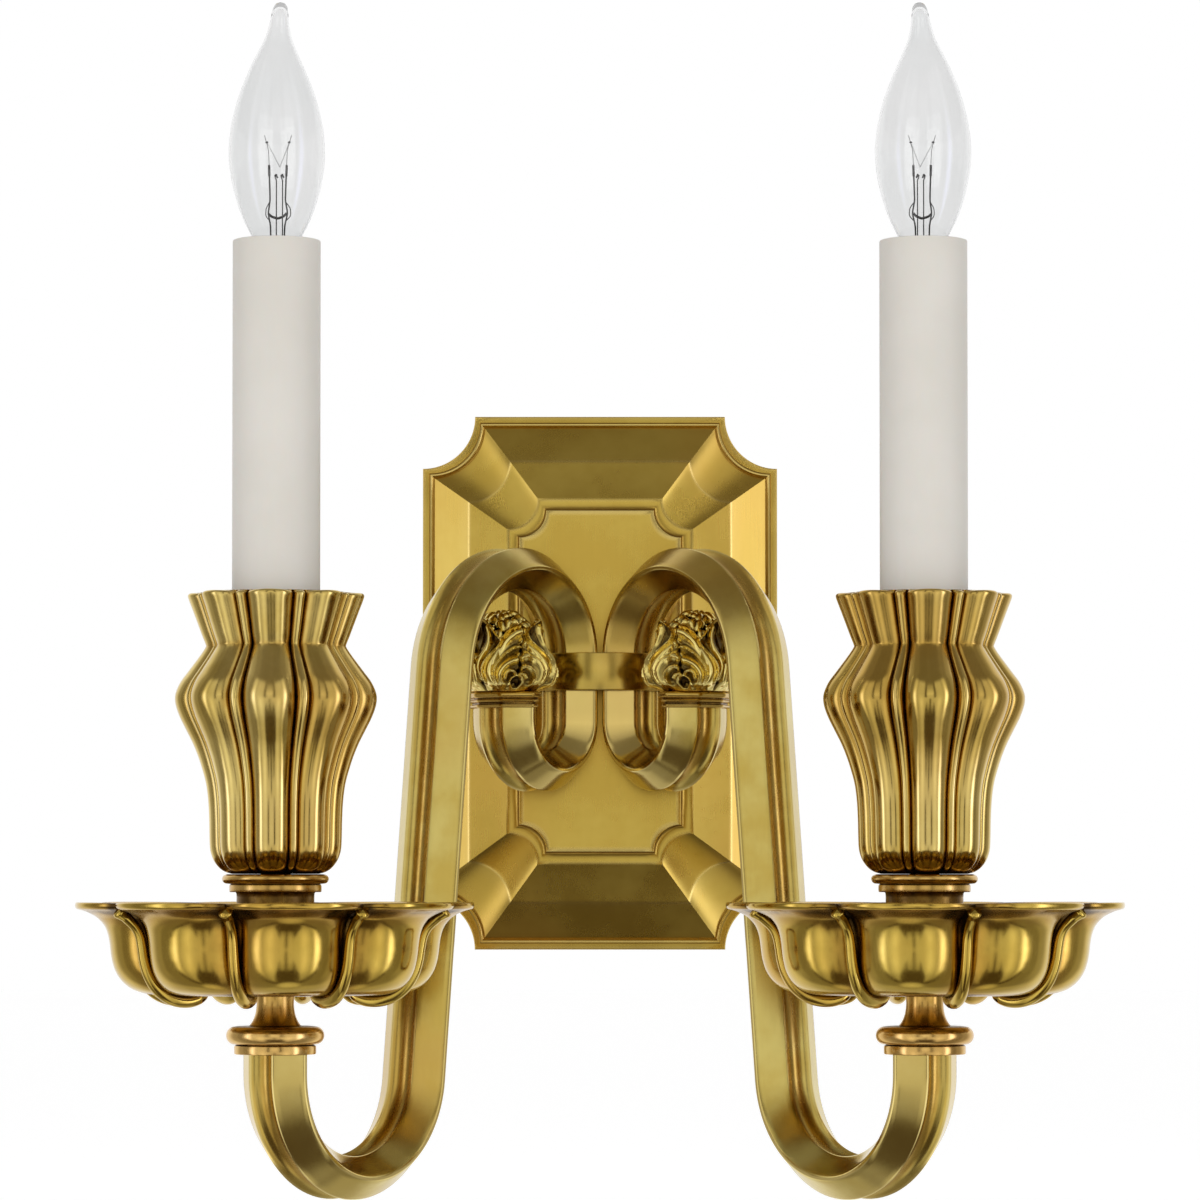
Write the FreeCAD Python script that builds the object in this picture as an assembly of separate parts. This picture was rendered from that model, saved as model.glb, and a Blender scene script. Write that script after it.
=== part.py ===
import FreeCAD, Part
import math
import os
from FreeCAD import Vector

# A wall sconce with two candle arms, in millimetres. The origin is the middle of the backplate on the wall,
# +Z is up and the light stands out towards -Y. The left arm is worked out in its own frame, where X runs out
# along the arm, Y across it and Z up, and is then turned into place. The right arm is its mirror image.

# Backplate: outlines with a quarter circle cut out of each corner, from the wall to the panel
PLATE_WIDTH = 125.0
PLATE_HEIGHT = 188.0
PLATE_NOTCH_R = 18.4
PLATE_EDGE = 5.0
PLATE_WALL = 2.0
PLATE_RIM = 2.6
BEAD_INSET = 2.8
BEAD_NOTCH_R = 18.0
BEAD_HEIGHT = 0.9
SLOPE_INSET = 4.4
SLOPE_NOTCH_R = 17.6
RIDGE_INSET = 16.6
RIDGE_NOTCH_R = 14.4
RIDGE_DEPTH = 13.0
SHOULDER_INSET = 31.0
SHOULDER_NOTCH_R = 10.4
SHOULDER_DEPTH = 19.0
PANEL_INSET = 34.2
PANEL_NOTCH_R = 9.5
PANEL_DEPTH = 21.5

# Fixing on the wall
BAR_CLEAR = 6.6
BAR_HEIGHT = 16.0
BAR_THICK = 2.0
BAR_EAR = 5.0
BOX_SCREW_SPACING = 88.9
BOX_SLOT_R = 2.4
BOX_SLOT_LENGTH = 10.0
GRUB_R = 1.5
GRUB_DEPTH = 2.7
GRUB_SHORT = 0.4
GROUND_SCREW_X = 22.0
GROUND_SCREW_R = 2.0
GROUND_HEAD_R = 4.2
GROUND_HEAD = 2.6

# Arm: place of the back strap, line of the bar and its section
ARM_ANGLE = 52.0
ARM_GAP = 1.5
ARM_REACH = 152.0
BAR_WIDTH = 26.6
BAR_RIDGE_OFFSET = 4.85
BAR_COVE = 4.0
BAR_EDGE = 0.65
CURL_R = 17.3
CURL_Z = -14.5
ARCH_TOP = 37.2
ARCH_INNER_R = 29.5
ARCH_OUTER_R = 38.5
STEM_LEAN = 6.0
U_RISE = 6.5
TENON_R = 6.5
TENON_HEIGHT = 7.0
WIREWAY_R = 2.3
WIRE_R = 1.4
WIRE_BEND_R = 4.0
WIRE_TAIL = 10.0

# Clamp band and the screws that hold the straps
CLAMP_LOW = -4.0
CLAMP_HIGH = 9.0
CLAMP_THICK = 2.4
CLAMP_FIT = 0.05
CLAMP_SCREW_R = 1.25
CLAMP_SCREW_GRIP = 6.0
CLAMP_HEAD_R = 2.2
CLAMP_HEAD = 0.5
ARM_SCREW_R = 1.5
ARM_SCREW_OUT = 3.2
ARM_SCREW_PITCH = 10.0
ARM_SCREW_GRIP = 7.0
SCREW_HEAD_R = 3.0
SCREW_HEAD = 2.0

# Bud on the end of the curl
COLLAR_LOW = -10.8
BUD_SEAT = -5.2
COLLAR_OVERHANG = 0.7
COLLAR_STEP = 1.0
BUD_R = 18.6
BUD_TOP = 24.0
BUD_LEAVES = 4
BUD_TURN = 54.0
BUD_FLOWER = 0.9
BUD_STUD_R = 2.5
BUD_STUD_GRIP = 7.0

# Candle stack, from the tip of the arm upwards
FERRULE_LOW = -126.0
FERRULE_RING_R = 13.3
FERRULE_RING = 3.2
FERRULE_R = 15.9
PEDESTAL_LOW = -116.9
PEDESTAL_FOOT_R = 8.55
PEDESTAL_WAIST_R = 6.05
PAN_LOW = -106.6
PAN_FLOOR = 1.8
PAN_WALL = 1.5
PAN_LIP_R = 64.7
PAN_LIP_LOW = -79.0
PAN_LIP_TOP = -76.8
LIP_ROLL = 0.6
PETALS = 8
PAN_TURN = 3.0
PETAL_VALLEY = 0.87
LIP_VALLEY = 0.885
RIB_WIDTH = 3.6
NECK_R = 12.6
NECK_RING_R = 14.95
NECK_RING_LOW = -73.5
NECK_TORUS_R = 17.3
NECK_TORUS_LOW = -70.85
CUP_LOW = -67.6
CUP_TOP = 23.5
CUP_RIM_R = 28.7
CUP_LOBES = 8
CUP_TURN = -8.0
CUP_BEAD_HALF_ANGLE = 4.6
CUP_VALLEY = 0.865
CUP_BEAD = 0.925
CUP_MOUTH_R = 23.8
CUP_THROAT_R = 17.0
CUP_THROAT_Z = 6.3
CUP_THROAT_DROP = 8.0
CUP_FLOOR_LOW = -18.0
CUP_FLOOR = -14.0
CUP_LOWER_BORE_R = 13.4
NIPPLE_R = 4.85
NIPPLE_BORE_R = 3.3
NIPPLE_FIT = 0.1
NIPPLE_LOW = -125.0
NIPPLE_TOP = -6.0
LOCKNUT_R = 7.6
LOCKNUT = 3.4

# Lamp holder, candle sleeve and bulb
SLEEVE_R = 14.3
SLEEVE_BORE_R = 12.9
SLEEVE_LENGTH = 152.4
SLEEVE_FIT = 0.3
BRACKET_WIDTH = 8.0
BRACKET_THICK = 1.4
BRACKET_FOOT_R = 7.4
BODY_R = 9.7
BODY_LENGTH = 40.0
BODY_FLAT = 9.2
SHELL_WALL = 0.5
SHELL_FIT = 0.2
CONTACT_R = 2.0
CONTACT_THICK = 0.8
BASE_R = 5.95
BASE_WALL = 0.3
BASE_LENGTH = 19.0
BASE_TIP_R = 2.4
BASE_TIP = 2.2
GLASS_IN_SLEEVE = 8.3
GLASS_IN_BASE = 6.0
GLASS_NECK_R = 5.6
GLASS_R = 15.85
GLASS_LENGTH = 86.2
GLASS_WALL = 0.7
LEAD_R = 0.5
LEAD_SPACING = 6.0
LEAD_LENGTH = 30.0
STEM_R = 3.2
STEM_FLARE = 1.5
FILAMENT_R = 0.4
FILAMENT_DROP = 9.0

X_AXIS = Vector(1, 0, 0)
Y_AXIS = Vector(0, 1, 0)
Z_AXIS = Vector(0, 0, 1)
ORIGIN = Vector(0, 0, 0)

ANGLE = math.radians(ARM_ANGLE)
LEAN = math.radians(STEM_LEAN)
HALF_BAR = BAR_WIDTH / 2
BAR_END = PLATE_WIDTH / 2 - BAR_CLEAR
CLAMP_MID = (CLAMP_LOW + CLAMP_HIGH) / 2
U_CENTRE_Z = FERRULE_LOW - U_RISE
PAN_RISE = PAN_LIP_LOW - PAN_LOW
CUP_HEIGHT = CUP_TOP - CUP_LOW
SLEEVE_TOP = CUP_FLOOR + SLEEVE_LENGTH
BASE_TOP = SLEEVE_TOP - GLASS_IN_SLEEVE
BASE_LOW = BASE_TOP - BASE_LENGTH
BULB_TIP_LOW = BASE_LOW - BASE_TIP
BODY_TOP = BASE_TOP - 1.0
BODY_LOW = BODY_TOP - BODY_LENGTH
BRACKET_LOW = CUP_FLOOR + LOCKNUT

# The ridge is as high as lays the bar's outer rear flat on the panel. The straps' inner edges keep their gap.
BAR_RIDGE = BAR_EDGE + (HALF_BAR - BAR_RIDGE_OFFSET) / math.tan(ANGLE)
STRAP_X = HALF_BAR * math.sin(ANGLE) + BAR_EDGE * math.cos(ANGLE) + ARM_GAP / 2
STRAP_Y = PANEL_DEPTH + BAR_RIDGE * math.sin(ANGLE) + BAR_RIDGE_OFFSET * math.cos(ANGLE)


# ---- Plain shapes ----

def polygon(points):
    return Part.makePolygon(points + points[:1])


def cylinder(radius, low, high, x=0.0, y=0.0):
    return Part.makeCylinder(radius, high - low, Vector(x, y, low), Z_AXIS)


def box(x0, x1, y0, y1, z0, z1):
    return Part.makeBox(x1 - x0, y1 - y0, z1 - z0, Vector(x0, y0, z0))


def line_profile(points):
    """A closed outline in the XZ plane. A pair of points is the middle and the end of an arc."""
    edges = []
    last = None
    first = None
    for entry in points:
        through = None
        end = entry
        if isinstance(entry[0], tuple):
            through, end = entry
        here = Vector(end[0], 0, end[1])
        if last is None:
            first = here
        elif through is not None:
            middle = Vector(through[0], 0, through[1])
            edges.append(Part.Arc(last, middle, here).toShape())
        else:
            edges.append(Part.LineSegment(last, here).toShape())
        last = here
    edges.append(Part.LineSegment(last, first).toShape())
    return Part.Face(Part.Wire(edges))


def turned(points):
    """A piece turned on the lathe about the Z axis, from half of its outline."""
    return line_profile(points).revolve(ORIGIN, Z_AXIS, 360)


def fused(pieces):
    whole = pieces[0].fuse(pieces[1:])
    return whole.removeSplitter()


def hexagon(radius, low, high):
    corners = []
    for k in range(6):
        a = math.radians(60 * k)
        corners.append(Vector(radius * math.cos(a), radius * math.sin(a), low))
    return Part.Face(polygon(corners)).extrude(Vector(0, 0, high - low))


# ---- Backplate and its fixing ----

def notched_outline(inset, notch_r, depth):
    """The plate's outline with a concave quarter circle at each corner, at a depth in front of the wall."""
    half_w = PLATE_WIDTH / 2 - inset
    half_h = PLATE_HEIGHT / 2 - inset
    edges = []
    last = None
    for sx, sz in ((1, 1), (-1, 1), (-1, -1), (1, -1)):
        corner = Vector(sx * half_w, -depth, sz * half_h)
        on_side = corner + Vector(0, 0, -sz * notch_r)
        on_end = corner + Vector(-sx * notch_r, 0, 0)
        diagonal = notch_r / math.sqrt(2)
        middle = corner + Vector(-sx * diagonal, 0, -sz * diagonal)
        start, end = (on_side, on_end) if sx == sz else (on_end, on_side)
        if last is not None:
            edges.append(Part.LineSegment(last, start).toShape())
        else:
            first = start
        edges.append(Part.Arc(start, middle, end).toShape())
        last = end
    edges.append(Part.LineSegment(last, first).toShape())
    return Part.Wire(edges)


def plate_layer(stations):
    """A layer of the plate, ruled between outlines of the same order at growing depths."""
    return Part.makeLoft([notched_outline(*s) for s in stations], True, True)


def make_backplate():
    bead_depth = PLATE_EDGE + BEAD_HEIGHT
    layers = [
        plate_layer([(0.0, PLATE_NOTCH_R, 0.0), (0.0, PLATE_NOTCH_R, PLATE_EDGE)]),
        plate_layer([(BEAD_INSET, BEAD_NOTCH_R, PLATE_EDGE), (BEAD_INSET, BEAD_NOTCH_R, bead_depth)]),
        plate_layer([
            (SLOPE_INSET, SLOPE_NOTCH_R, bead_depth),
            (RIDGE_INSET, RIDGE_NOTCH_R, RIDGE_DEPTH),
            (SHOULDER_INSET, SHOULDER_NOTCH_R, SHOULDER_DEPTH),
        ]),
        plate_layer([
            (PANEL_INSET, PANEL_NOTCH_R, SHOULDER_DEPTH),
            (PANEL_INSET, PANEL_NOTCH_R, PANEL_DEPTH),
        ]),
    ]
    rim_notch = PLATE_NOTCH_R + PLATE_RIM - PLATE_WALL
    well_inset = PANEL_INSET + PLATE_WALL
    well_notch = PANEL_NOTCH_R + PLATE_WALL / 2
    hollow = [
        plate_layer([
            (PLATE_RIM, rim_notch, 0.0),
            (PLATE_RIM, rim_notch, PLATE_EDGE - PLATE_WALL),
            (RIDGE_INSET, RIDGE_NOTCH_R + PLATE_WALL, RIDGE_DEPTH - PLATE_WALL),
            (SHOULDER_INSET, SHOULDER_NOTCH_R + PLATE_WALL, SHOULDER_DEPTH - PLATE_WALL),
        ]),
        plate_layer([
            (well_inset, well_notch, SHOULDER_DEPTH - PLATE_WALL),
            (well_inset, well_notch, PANEL_DEPTH - PLATE_WALL),
        ]),
    ]
    plate = fused(layers).cut(fused(hollow))
    for side in (-1, 1):
        plate = plate.cut(grub_screw(side, 0.0, PLATE_WALL * 2))
    for hole in both_sides(Part.makeCompound([arm_screw_shaft(z) for z in arm_screw_heights()])):
        plate = plate.cut(hole)
    for way in both_sides(placed(wireway())):
        plate = plate.cut(way)
    return plate


def grub_screw(side, short, long):
    """A grub screw from the ear of the bar through the plate's side, ended short or long of it."""
    inner = BAR_END - BAR_THICK
    outer = PLATE_WIDTH / 2 - short + long
    start = Vector(side * inner, -GRUB_DEPTH, 0)
    return Part.makeCylinder(GRUB_R, outer - inner, start, X_AXIS * side)


def make_grub_screws():
    return Part.makeCompound([grub_screw(side, GRUB_SHORT, 0.0) for side in (-1, 1)])


def make_mounting_bar():
    half = BAR_END
    bar = box(-half, half, -BAR_THICK, 0, -BAR_HEIGHT / 2, BAR_HEIGHT / 2)
    for side in (-1, 1):
        near, far = sorted((side * (half - BAR_THICK), side * half))
        ear = box(near, far, -BAR_EAR, -BAR_THICK, -BAR_HEIGHT / 4, BAR_HEIGHT / 4)
        bar = bar.fuse(ear)
        bar = bar.cut(box_slot(side * BOX_SCREW_SPACING / 2))
        bar = bar.cut(grub_screw(side, 0.0, 0.0))
    return bar.cut(ground_shaft()).removeSplitter()


def box_slot(x):
    half = BOX_SLOT_LENGTH / 2 - BOX_SLOT_R
    ends = [Part.makeCylinder(BOX_SLOT_R, BAR_THICK, Vector(x + s * half, 0, 0), -Y_AXIS) for s in (-1, 1)]
    middle = box(x - half, x + half, -BAR_THICK, 0, -BOX_SLOT_R, BOX_SLOT_R)
    return ends[0].fuse([ends[1], middle])


def ground_shaft():
    return Part.makeCylinder(GROUND_SCREW_R, BAR_THICK, Vector(GROUND_SCREW_X, 0, 0), -Y_AXIS)


def make_ground_screw():
    start = Vector(GROUND_SCREW_X, -BAR_THICK, 0)
    head = Part.makeCylinder(GROUND_HEAD_R, GROUND_HEAD, start, -Y_AXIS)
    return ground_shaft().fuse(head).removeSplitter()


# ---- The moulded bar of the arm, along runs and tangent arcs ----

def bar_section():
    """The bar's outline across its line: two ridges with a cove between them on each face, and thin edges."""
    def corner(m, n):
        return Vector(m, n, 0)
    edges = []
    for s in (1, -1):
        edge_in = corner(s * BAR_EDGE, s * HALF_BAR)
        ridge_a = corner(s * BAR_RIDGE, s * BAR_RIDGE_OFFSET)
        cove = corner(s * BAR_COVE, 0)
        ridge_b = corner(s * BAR_RIDGE, -s * BAR_RIDGE_OFFSET)
        edge_out = corner(s * BAR_EDGE, -s * HALF_BAR)
        across = corner(-s * BAR_EDGE, -s * HALF_BAR)
        edges.append(Part.LineSegment(edge_in, ridge_a).toShape())
        edges.append(Part.Arc(ridge_a, cove, ridge_b).toShape())
        edges.append(Part.LineSegment(ridge_b, edge_out).toShape())
        edges.append(Part.LineSegment(edge_out, across).toShape())
    return Part.Face(Part.Wire(edges))


def round_section(radius):
    """A round outline for the wires and the way that they run in."""
    return Part.Face(Part.Wire(Part.makeCircle(radius)))


def at_station(section, u, z, heading):
    """The section set across the line at (u, z), where the line heads at an angle above the arm's X axis."""
    copy = section.copy()
    copy.rotate(ORIGIN, Y_AXIS, 90 - math.degrees(heading))
    copy.translate(Vector(u, 0, z))
    return copy


def straight(section, start, end):
    heading = math.atan2(end[1] - start[1], end[0] - start[0])
    face = at_station(section, start[0], start[1], heading)
    return face.extrude(Vector(end[0] - start[0], 0, end[1] - start[1]))


def bend(section, centre, radius, start_angle, sweep):
    """A bend about a centre in the arm's plane. Angles are above the X axis and may sweep either way."""
    turn = 1 if sweep > 0 else -1
    u = centre[0] + radius * math.cos(start_angle)
    z = centre[1] + radius * math.sin(start_angle)
    face = at_station(section, u, z, start_angle + turn * math.pi / 2)
    return face.revolve(Vector(centre[0], 0, centre[1]), Y_AXIS, -math.degrees(sweep))


def u_radius():
    """The U's radius, so that it runs on from the leaning stem and comes up under the candle."""
    top_u, top_z = stem_top()
    # the U's centre is its own radius from the candle's axis and from the stem's line
    across = (ARM_REACH - top_u) * math.cos(LEAN) + (U_CENTRE_Z - top_z) * math.sin(LEAN)
    return across / (1 + math.cos(LEAN))


def stem_top():
    u = ARCH_INNER_R + ARCH_OUTER_R * math.cos(LEAN)
    z = ARCH_TOP - ARCH_OUTER_R + ARCH_OUTER_R * math.sin(LEAN)
    return u, z


def stem_foot():
    r = u_radius()
    u = ARM_REACH - r - r * math.cos(LEAN)
    z = U_CENTRE_Z - r * math.sin(LEAN)
    return u, z


def run_from_strap(section, low, high):
    """The line from the back strap at a height, over the arch, down the stem and round the U to a height."""
    r = u_radius()
    arch_centre = ARCH_TOP - ARCH_INNER_R
    return [
        straight(section, (0, low), (0, arch_centre)),
        bend(section, (ARCH_INNER_R, arch_centre), ARCH_INNER_R, math.pi, -math.pi / 2),
        bend(section, (ARCH_INNER_R, ARCH_TOP - ARCH_OUTER_R), ARCH_OUTER_R, math.pi / 2, LEAN - math.pi / 2),
        straight(section, stem_top(), stem_foot()),
        bend(section, (ARM_REACH - r, U_CENTRE_Z), r, math.pi + LEAN, math.pi - LEAN),
        straight(section, (ARM_REACH, U_CENTRE_Z), (ARM_REACH, high)),
    ]


def wire_run(radius, low_y, high):
    """The line of the wires: square through the panel into the strap, up inside it, and along the arm."""
    section = round_section(radius)
    back = STRAP_Y - low_y
    entry = [
        straight(section, (-back, CLAMP_MID), (-WIRE_BEND_R, CLAMP_MID)),
        bend(section, (-WIRE_BEND_R, CLAMP_MID + WIRE_BEND_R), WIRE_BEND_R, -math.pi / 2, math.pi / 2),
    ]
    for piece in entry:
        piece.rotate(ORIGIN, Z_AXIS, 90 - ARM_ANGLE)
    return fused(entry + run_from_strap(section, CLAMP_MID + WIRE_BEND_R, high))


def wireway():
    return wire_run(WIREWAY_R, PANEL_DEPTH - 2 * PLATE_WALL, FERRULE_LOW + TENON_HEIGHT)


def make_wire():
    return wire_run(WIRE_R, PANEL_DEPTH - PLATE_WALL - WIRE_TAIL, BODY_LOW)


def make_arm():
    section = bar_section()
    curl = [
        straight(section, (2 * CURL_R, COLLAR_LOW), (2 * CURL_R, CURL_Z)),
        bend(section, (CURL_R, CURL_Z), CURL_R, 0.0, -math.pi),
    ]
    rise = run_from_strap(section, CURL_Z, FERRULE_LOW)
    tenon = cylinder(TENON_R, FERRULE_LOW, FERRULE_LOW + TENON_HEIGHT, ARM_REACH)
    arm = fused(curl + rise + [tenon])
    arm = arm.cut(wireway())
    arm = arm.cut(cylinder(NIPPLE_R, NIPPLE_LOW, 0, ARM_REACH))
    arm = arm.cut(cylinder(BUD_STUD_R, COLLAR_LOW - BUD_STUD_GRIP, COLLAR_LOW, 2 * CURL_R))
    arm = arm.cut(clamp_screw_shaft())
    arm = placed(arm)
    for z in arm_screw_heights():
        arm = arm.cut(arm_screw_shaft(z))
    return arm


# ---- Clamp band and the screws of the straps ----

def in_room(m, n):
    """A point of the left strap's section, seen in plan in the light's own frame."""
    x = -STRAP_X - m * math.cos(ANGLE) + n * math.sin(ANGLE)
    y = -STRAP_Y - m * math.sin(ANGLE) - n * math.cos(ANGLE)
    return x, y


def clamp_centre():
    """The band's centre, on the middle plane and equally far from both front ridges of the strap."""
    ax, ay = in_room(BAR_RIDGE, BAR_RIDGE_OFFSET)
    bx, by = in_room(BAR_RIDGE, -BAR_RIDGE_OFFSET)
    y = (ax * ax + ay * ay - bx * bx - by * by) / (2 * (ay - by))
    return y, math.hypot(ax, ay - y) + CLAMP_FIT


def clamp_screw_shaft():
    """Along the strap's own depth at its outer ridge, in the arm's frame."""
    start = Vector(BAR_RIDGE + CLAMP_THICK, -BAR_RIDGE_OFFSET, CLAMP_MID)
    return Part.makeCylinder(CLAMP_SCREW_R, CLAMP_THICK + CLAMP_SCREW_GRIP, start, -X_AXIS)


def make_clamp_screw():
    start = Vector(BAR_RIDGE + CLAMP_THICK / 2, -BAR_RIDGE_OFFSET, CLAMP_MID)
    head = Part.makeCylinder(CLAMP_HEAD_R, CLAMP_HEAD + CLAMP_THICK / 2, start, X_AXIS)
    return clamp_screw_shaft().fuse(head).removeSplitter()


def make_clamp_band():
    centre_y, inner_r = clamp_centre()
    centre = Vector(0, centre_y, CLAMP_LOW)
    height = CLAMP_HIGH - CLAMP_LOW
    outer_r = inner_r + CLAMP_THICK
    band = Part.makeCylinder(outer_r, height, centre, Z_AXIS)
    band = band.cut(Part.makeCylinder(inner_r, height, centre, Z_AXIS))
    front = box(-outer_r, outer_r, centre_y - outer_r, -PANEL_DEPTH, CLAMP_LOW, CLAMP_HIGH)
    band = band.common(front)
    for screw in both_sides(placed(make_clamp_screw())):
        band = band.cut(screw)
    return band


def arm_screw_heights():
    return [CLAMP_MID - ARM_SCREW_PITCH / 2, CLAMP_MID + ARM_SCREW_PITCH / 2]


def arm_screw_start():
    """On the back of the panel, behind the strap's outer rear flat."""
    return Vector(-STRAP_X - ARM_SCREW_OUT, -PANEL_DEPTH + PLATE_WALL, 0)


def arm_screw_shaft(z):
    start = arm_screw_start() + Z_AXIS * z
    return Part.makeCylinder(ARM_SCREW_R, PLATE_WALL + ARM_SCREW_GRIP, start, -Y_AXIS)


def make_arm_screws():
    screws = []
    for z in arm_screw_heights():
        start = arm_screw_start() + Vector(0, SCREW_HEAD, z)
        head = Part.makeCylinder(SCREW_HEAD_R, SCREW_HEAD, start, -Y_AXIS)
        screws.append(arm_screw_shaft(z).fuse(head).removeSplitter())
    return Part.makeCompound(screws)


# ---- Bud and its collar ----

def lobed_outline(z, crest, valley, count, phase):
    """A closed outline of bulging arcs that meet in valleys."""
    half = math.pi / count
    edges = []
    for k in range(count):
        middle = math.radians(phase) + 2 * half * k
        start = radial(valley, middle - half, z)
        top = radial(crest, middle, z)
        end = radial(valley, middle + half, z)
        edges.append(Part.Arc(start, top, end).toShape())
    return Part.Wire(edges)


def radial(radius, angle, z):
    return Vector(radius * math.cos(angle), radius * math.sin(angle), z)


def collar_step(grow, low, high):
    """A step of the collar: the bar's outline, bridged over its coves and grown outwards."""
    ridge = BAR_RIDGE + grow
    edge = BAR_EDGE + grow
    end = HALF_BAR + grow
    half = [(edge, end), (ridge, BAR_RIDGE_OFFSET), (ridge, -BAR_RIDGE_OFFSET), (edge, -end)]
    corners = [Vector(s * m, s * n, low) for s in (1, -1) for m, n in half]
    return Part.Face(polygon(corners)).extrude(Z_AXIS * (high - low))


def make_bud_collar():
    """A moulded collar that follows the bar's outline, in two steps."""
    middle = (COLLAR_LOW + BUD_SEAT) / 2
    lower = collar_step(COLLAR_OVERHANG, COLLAR_LOW, middle)
    upper = collar_step(COLLAR_OVERHANG + COLLAR_STEP, middle, BUD_SEAT)
    collar = lower.fuse(upper).removeSplitter()
    collar.translate(Vector(2 * CURL_R, 0, 0))
    return collar.cut(cylinder(BUD_STUD_R, COLLAR_LOW, BUD_SEAT, 2 * CURL_R))


# Bud from the collar up: share of its height, of its widest radius, and how far in the valleys lie
BUD_STATIONS = [
    (0.0, 0.55, 0.96), (0.07, 0.80, 0.93), (0.24, 1.0, 0.90), (0.50, 0.91, 0.88), (0.74, 0.78, 0.86),
    (0.88, 0.72, 0.84),
]


def make_bud():
    """An acanthus bud: leaves that swell over the collar, draw in and stand open round a flower."""
    tall = BUD_TOP - BUD_SEAT
    leaves = [lobed_outline(BUD_SEAT + tall * up, BUD_R * out, BUD_R * out * pinch, BUD_LEAVES, BUD_TURN)
              for up, out, pinch in BUD_STATIONS]
    bud = Part.makeLoft(leaves, True, True)
    rim = BUD_SEAT + tall * BUD_STATIONS[-1][0]
    flower_r = BUD_R * BUD_STATIONS[-1][1] * BUD_STATIONS[-1][2] * BUD_FLOWER
    flower = turned([(0, rim), (flower_r, rim), ((flower_r * 0.7, (rim + BUD_TOP * 2) / 3), (0, BUD_TOP))])
    bud = bud.fuse(flower).removeSplitter()
    bud = bud.cut(cylinder(BUD_STUD_R, BUD_SEAT, BUD_SEAT + BUD_STUD_GRIP))
    bud.translate(Vector(2 * CURL_R, 0, 0))
    return bud


def make_bud_stud():
    return cylinder(BUD_STUD_R, COLLAR_LOW - BUD_STUD_GRIP, BUD_SEAT + BUD_STUD_GRIP, 2 * CURL_R)


# ---- Candle stack, about its own axis ----

def make_ferrule():
    ring_top = FERRULE_LOW + FERRULE_RING
    torus_r = (PEDESTAL_LOW - ring_top) / 2
    inner = FERRULE_R - torus_r
    middle = ring_top + torus_r
    outline = turned([
        (0, FERRULE_LOW), (FERRULE_RING_R, FERRULE_LOW), (FERRULE_RING_R, ring_top), (inner, ring_top),
        ((FERRULE_R, middle), (inner, PEDESTAL_LOW)), (0, PEDESTAL_LOW),
    ])
    return outline.cut(cylinder(TENON_R, FERRULE_LOW, FERRULE_LOW + TENON_HEIGHT)).cut(nipple_hole())


def nipple_hole():
    return cylinder(NIPPLE_R + NIPPLE_FIT, NIPPLE_LOW, NIPPLE_TOP)


def make_pedestal():
    waist = PAN_LOW - (PAN_LOW - PEDESTAL_LOW) * 0.4
    flare = waist - (waist - PEDESTAL_LOW) * 0.75
    outline = turned([
        (0, PEDESTAL_LOW), (PEDESTAL_FOOT_R, PEDESTAL_LOW),
        ((PEDESTAL_WAIST_R + 0.8, flare), (PEDESTAL_WAIST_R, waist)),
        (PEDESTAL_WAIST_R + 0.3, PAN_LOW), (0, PAN_LOW),
    ])
    return outline.cut(nipple_hole())


def make_nipple():
    return cylinder(NIPPLE_R, NIPPLE_LOW, NIPPLE_TOP).cut(cylinder(NIPPLE_BORE_R, NIPPLE_LOW, NIPPLE_TOP))


# Petal wall of the drip pan from the lip down: share of its height above the foot, and of the lip's radius
PETAL_STATIONS = [
    (0.9058, 0.892), (0.7246, 0.839), (0.5217, 0.823), (0.3152, 0.803), (0.1341, 0.743), (0.0326, 0.655),
]
PETAL_FOOT = 0.54


def petal_outline(z, crest, valley_share):
    return lobed_outline(z, crest, crest * valley_share, PETALS, PAN_TURN)


def make_drip_pan():
    """Eight bulging petals with a thin everted lip, and a rolled rib under each joint between them."""
    outside = [petal_outline(PAN_LIP_TOP, PAN_LIP_R - LIP_ROLL, LIP_VALLEY),
               petal_outline(PAN_LIP_LOW, PAN_LIP_R, LIP_VALLEY)]
    for up, share in PETAL_STATIONS:
        outside.append(petal_outline(PAN_LOW + PAN_RISE * up, PAN_LIP_R * share, PETAL_VALLEY))
    outside.append(petal_outline(PAN_LOW, PAN_LIP_R * PETAL_FOOT, PETAL_VALLEY))
    pan = Part.makeLoft(outside[::-1], True, True)
    inside = [petal_outline(PAN_LIP_TOP, PAN_LIP_R - LIP_ROLL - PAN_WALL / 2, LIP_VALLEY)]
    for up, share in PETAL_STATIONS[:5]:
        z = PAN_LOW + PAN_RISE * up + PAN_WALL / 2
        inside.append(petal_outline(z, PAN_LIP_R * share - PAN_WALL, PETAL_VALLEY))
    inside.append(petal_outline(PAN_LOW + PAN_FLOOR, PAN_LIP_R * PETAL_FOOT - PAN_WALL, PETAL_VALLEY))
    pan = pan.cut(Part.makeLoft(inside[::-1], True, True))
    ribs = []
    for k in range(PETALS):
        ribs.append(pan_rib(PAN_TURN + 180.0 / PETALS + 360.0 / PETALS * k))
    pan = pan.fuse(ribs).removeSplitter()
    return pan.cut(nipple_hole())


# A pan rib from its knob under the lip, down the wall and in under the floor, back along the inside of the
# wall: share of the lip's radius and of the pan's height above the foot. A pair is the middle and end of
# an arc.
RIB_OUTLINE = [
    (0.879, 1.022),
    ((0.890, 0.971), (0.860, 0.906)),
    ((0.809, 0.764), (0.766, 0.511)),
    ((0.720, 0.065), (0.520, -0.116)),
    ((0.420, -0.123), (0.360, -0.029)),
    (0.369, 0.014), (0.470, 0.014), (0.570, 0.109), (0.670, 0.290), (0.710, 0.580), (0.740, 0.797),
    (0.820, 1.022),
]


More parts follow.
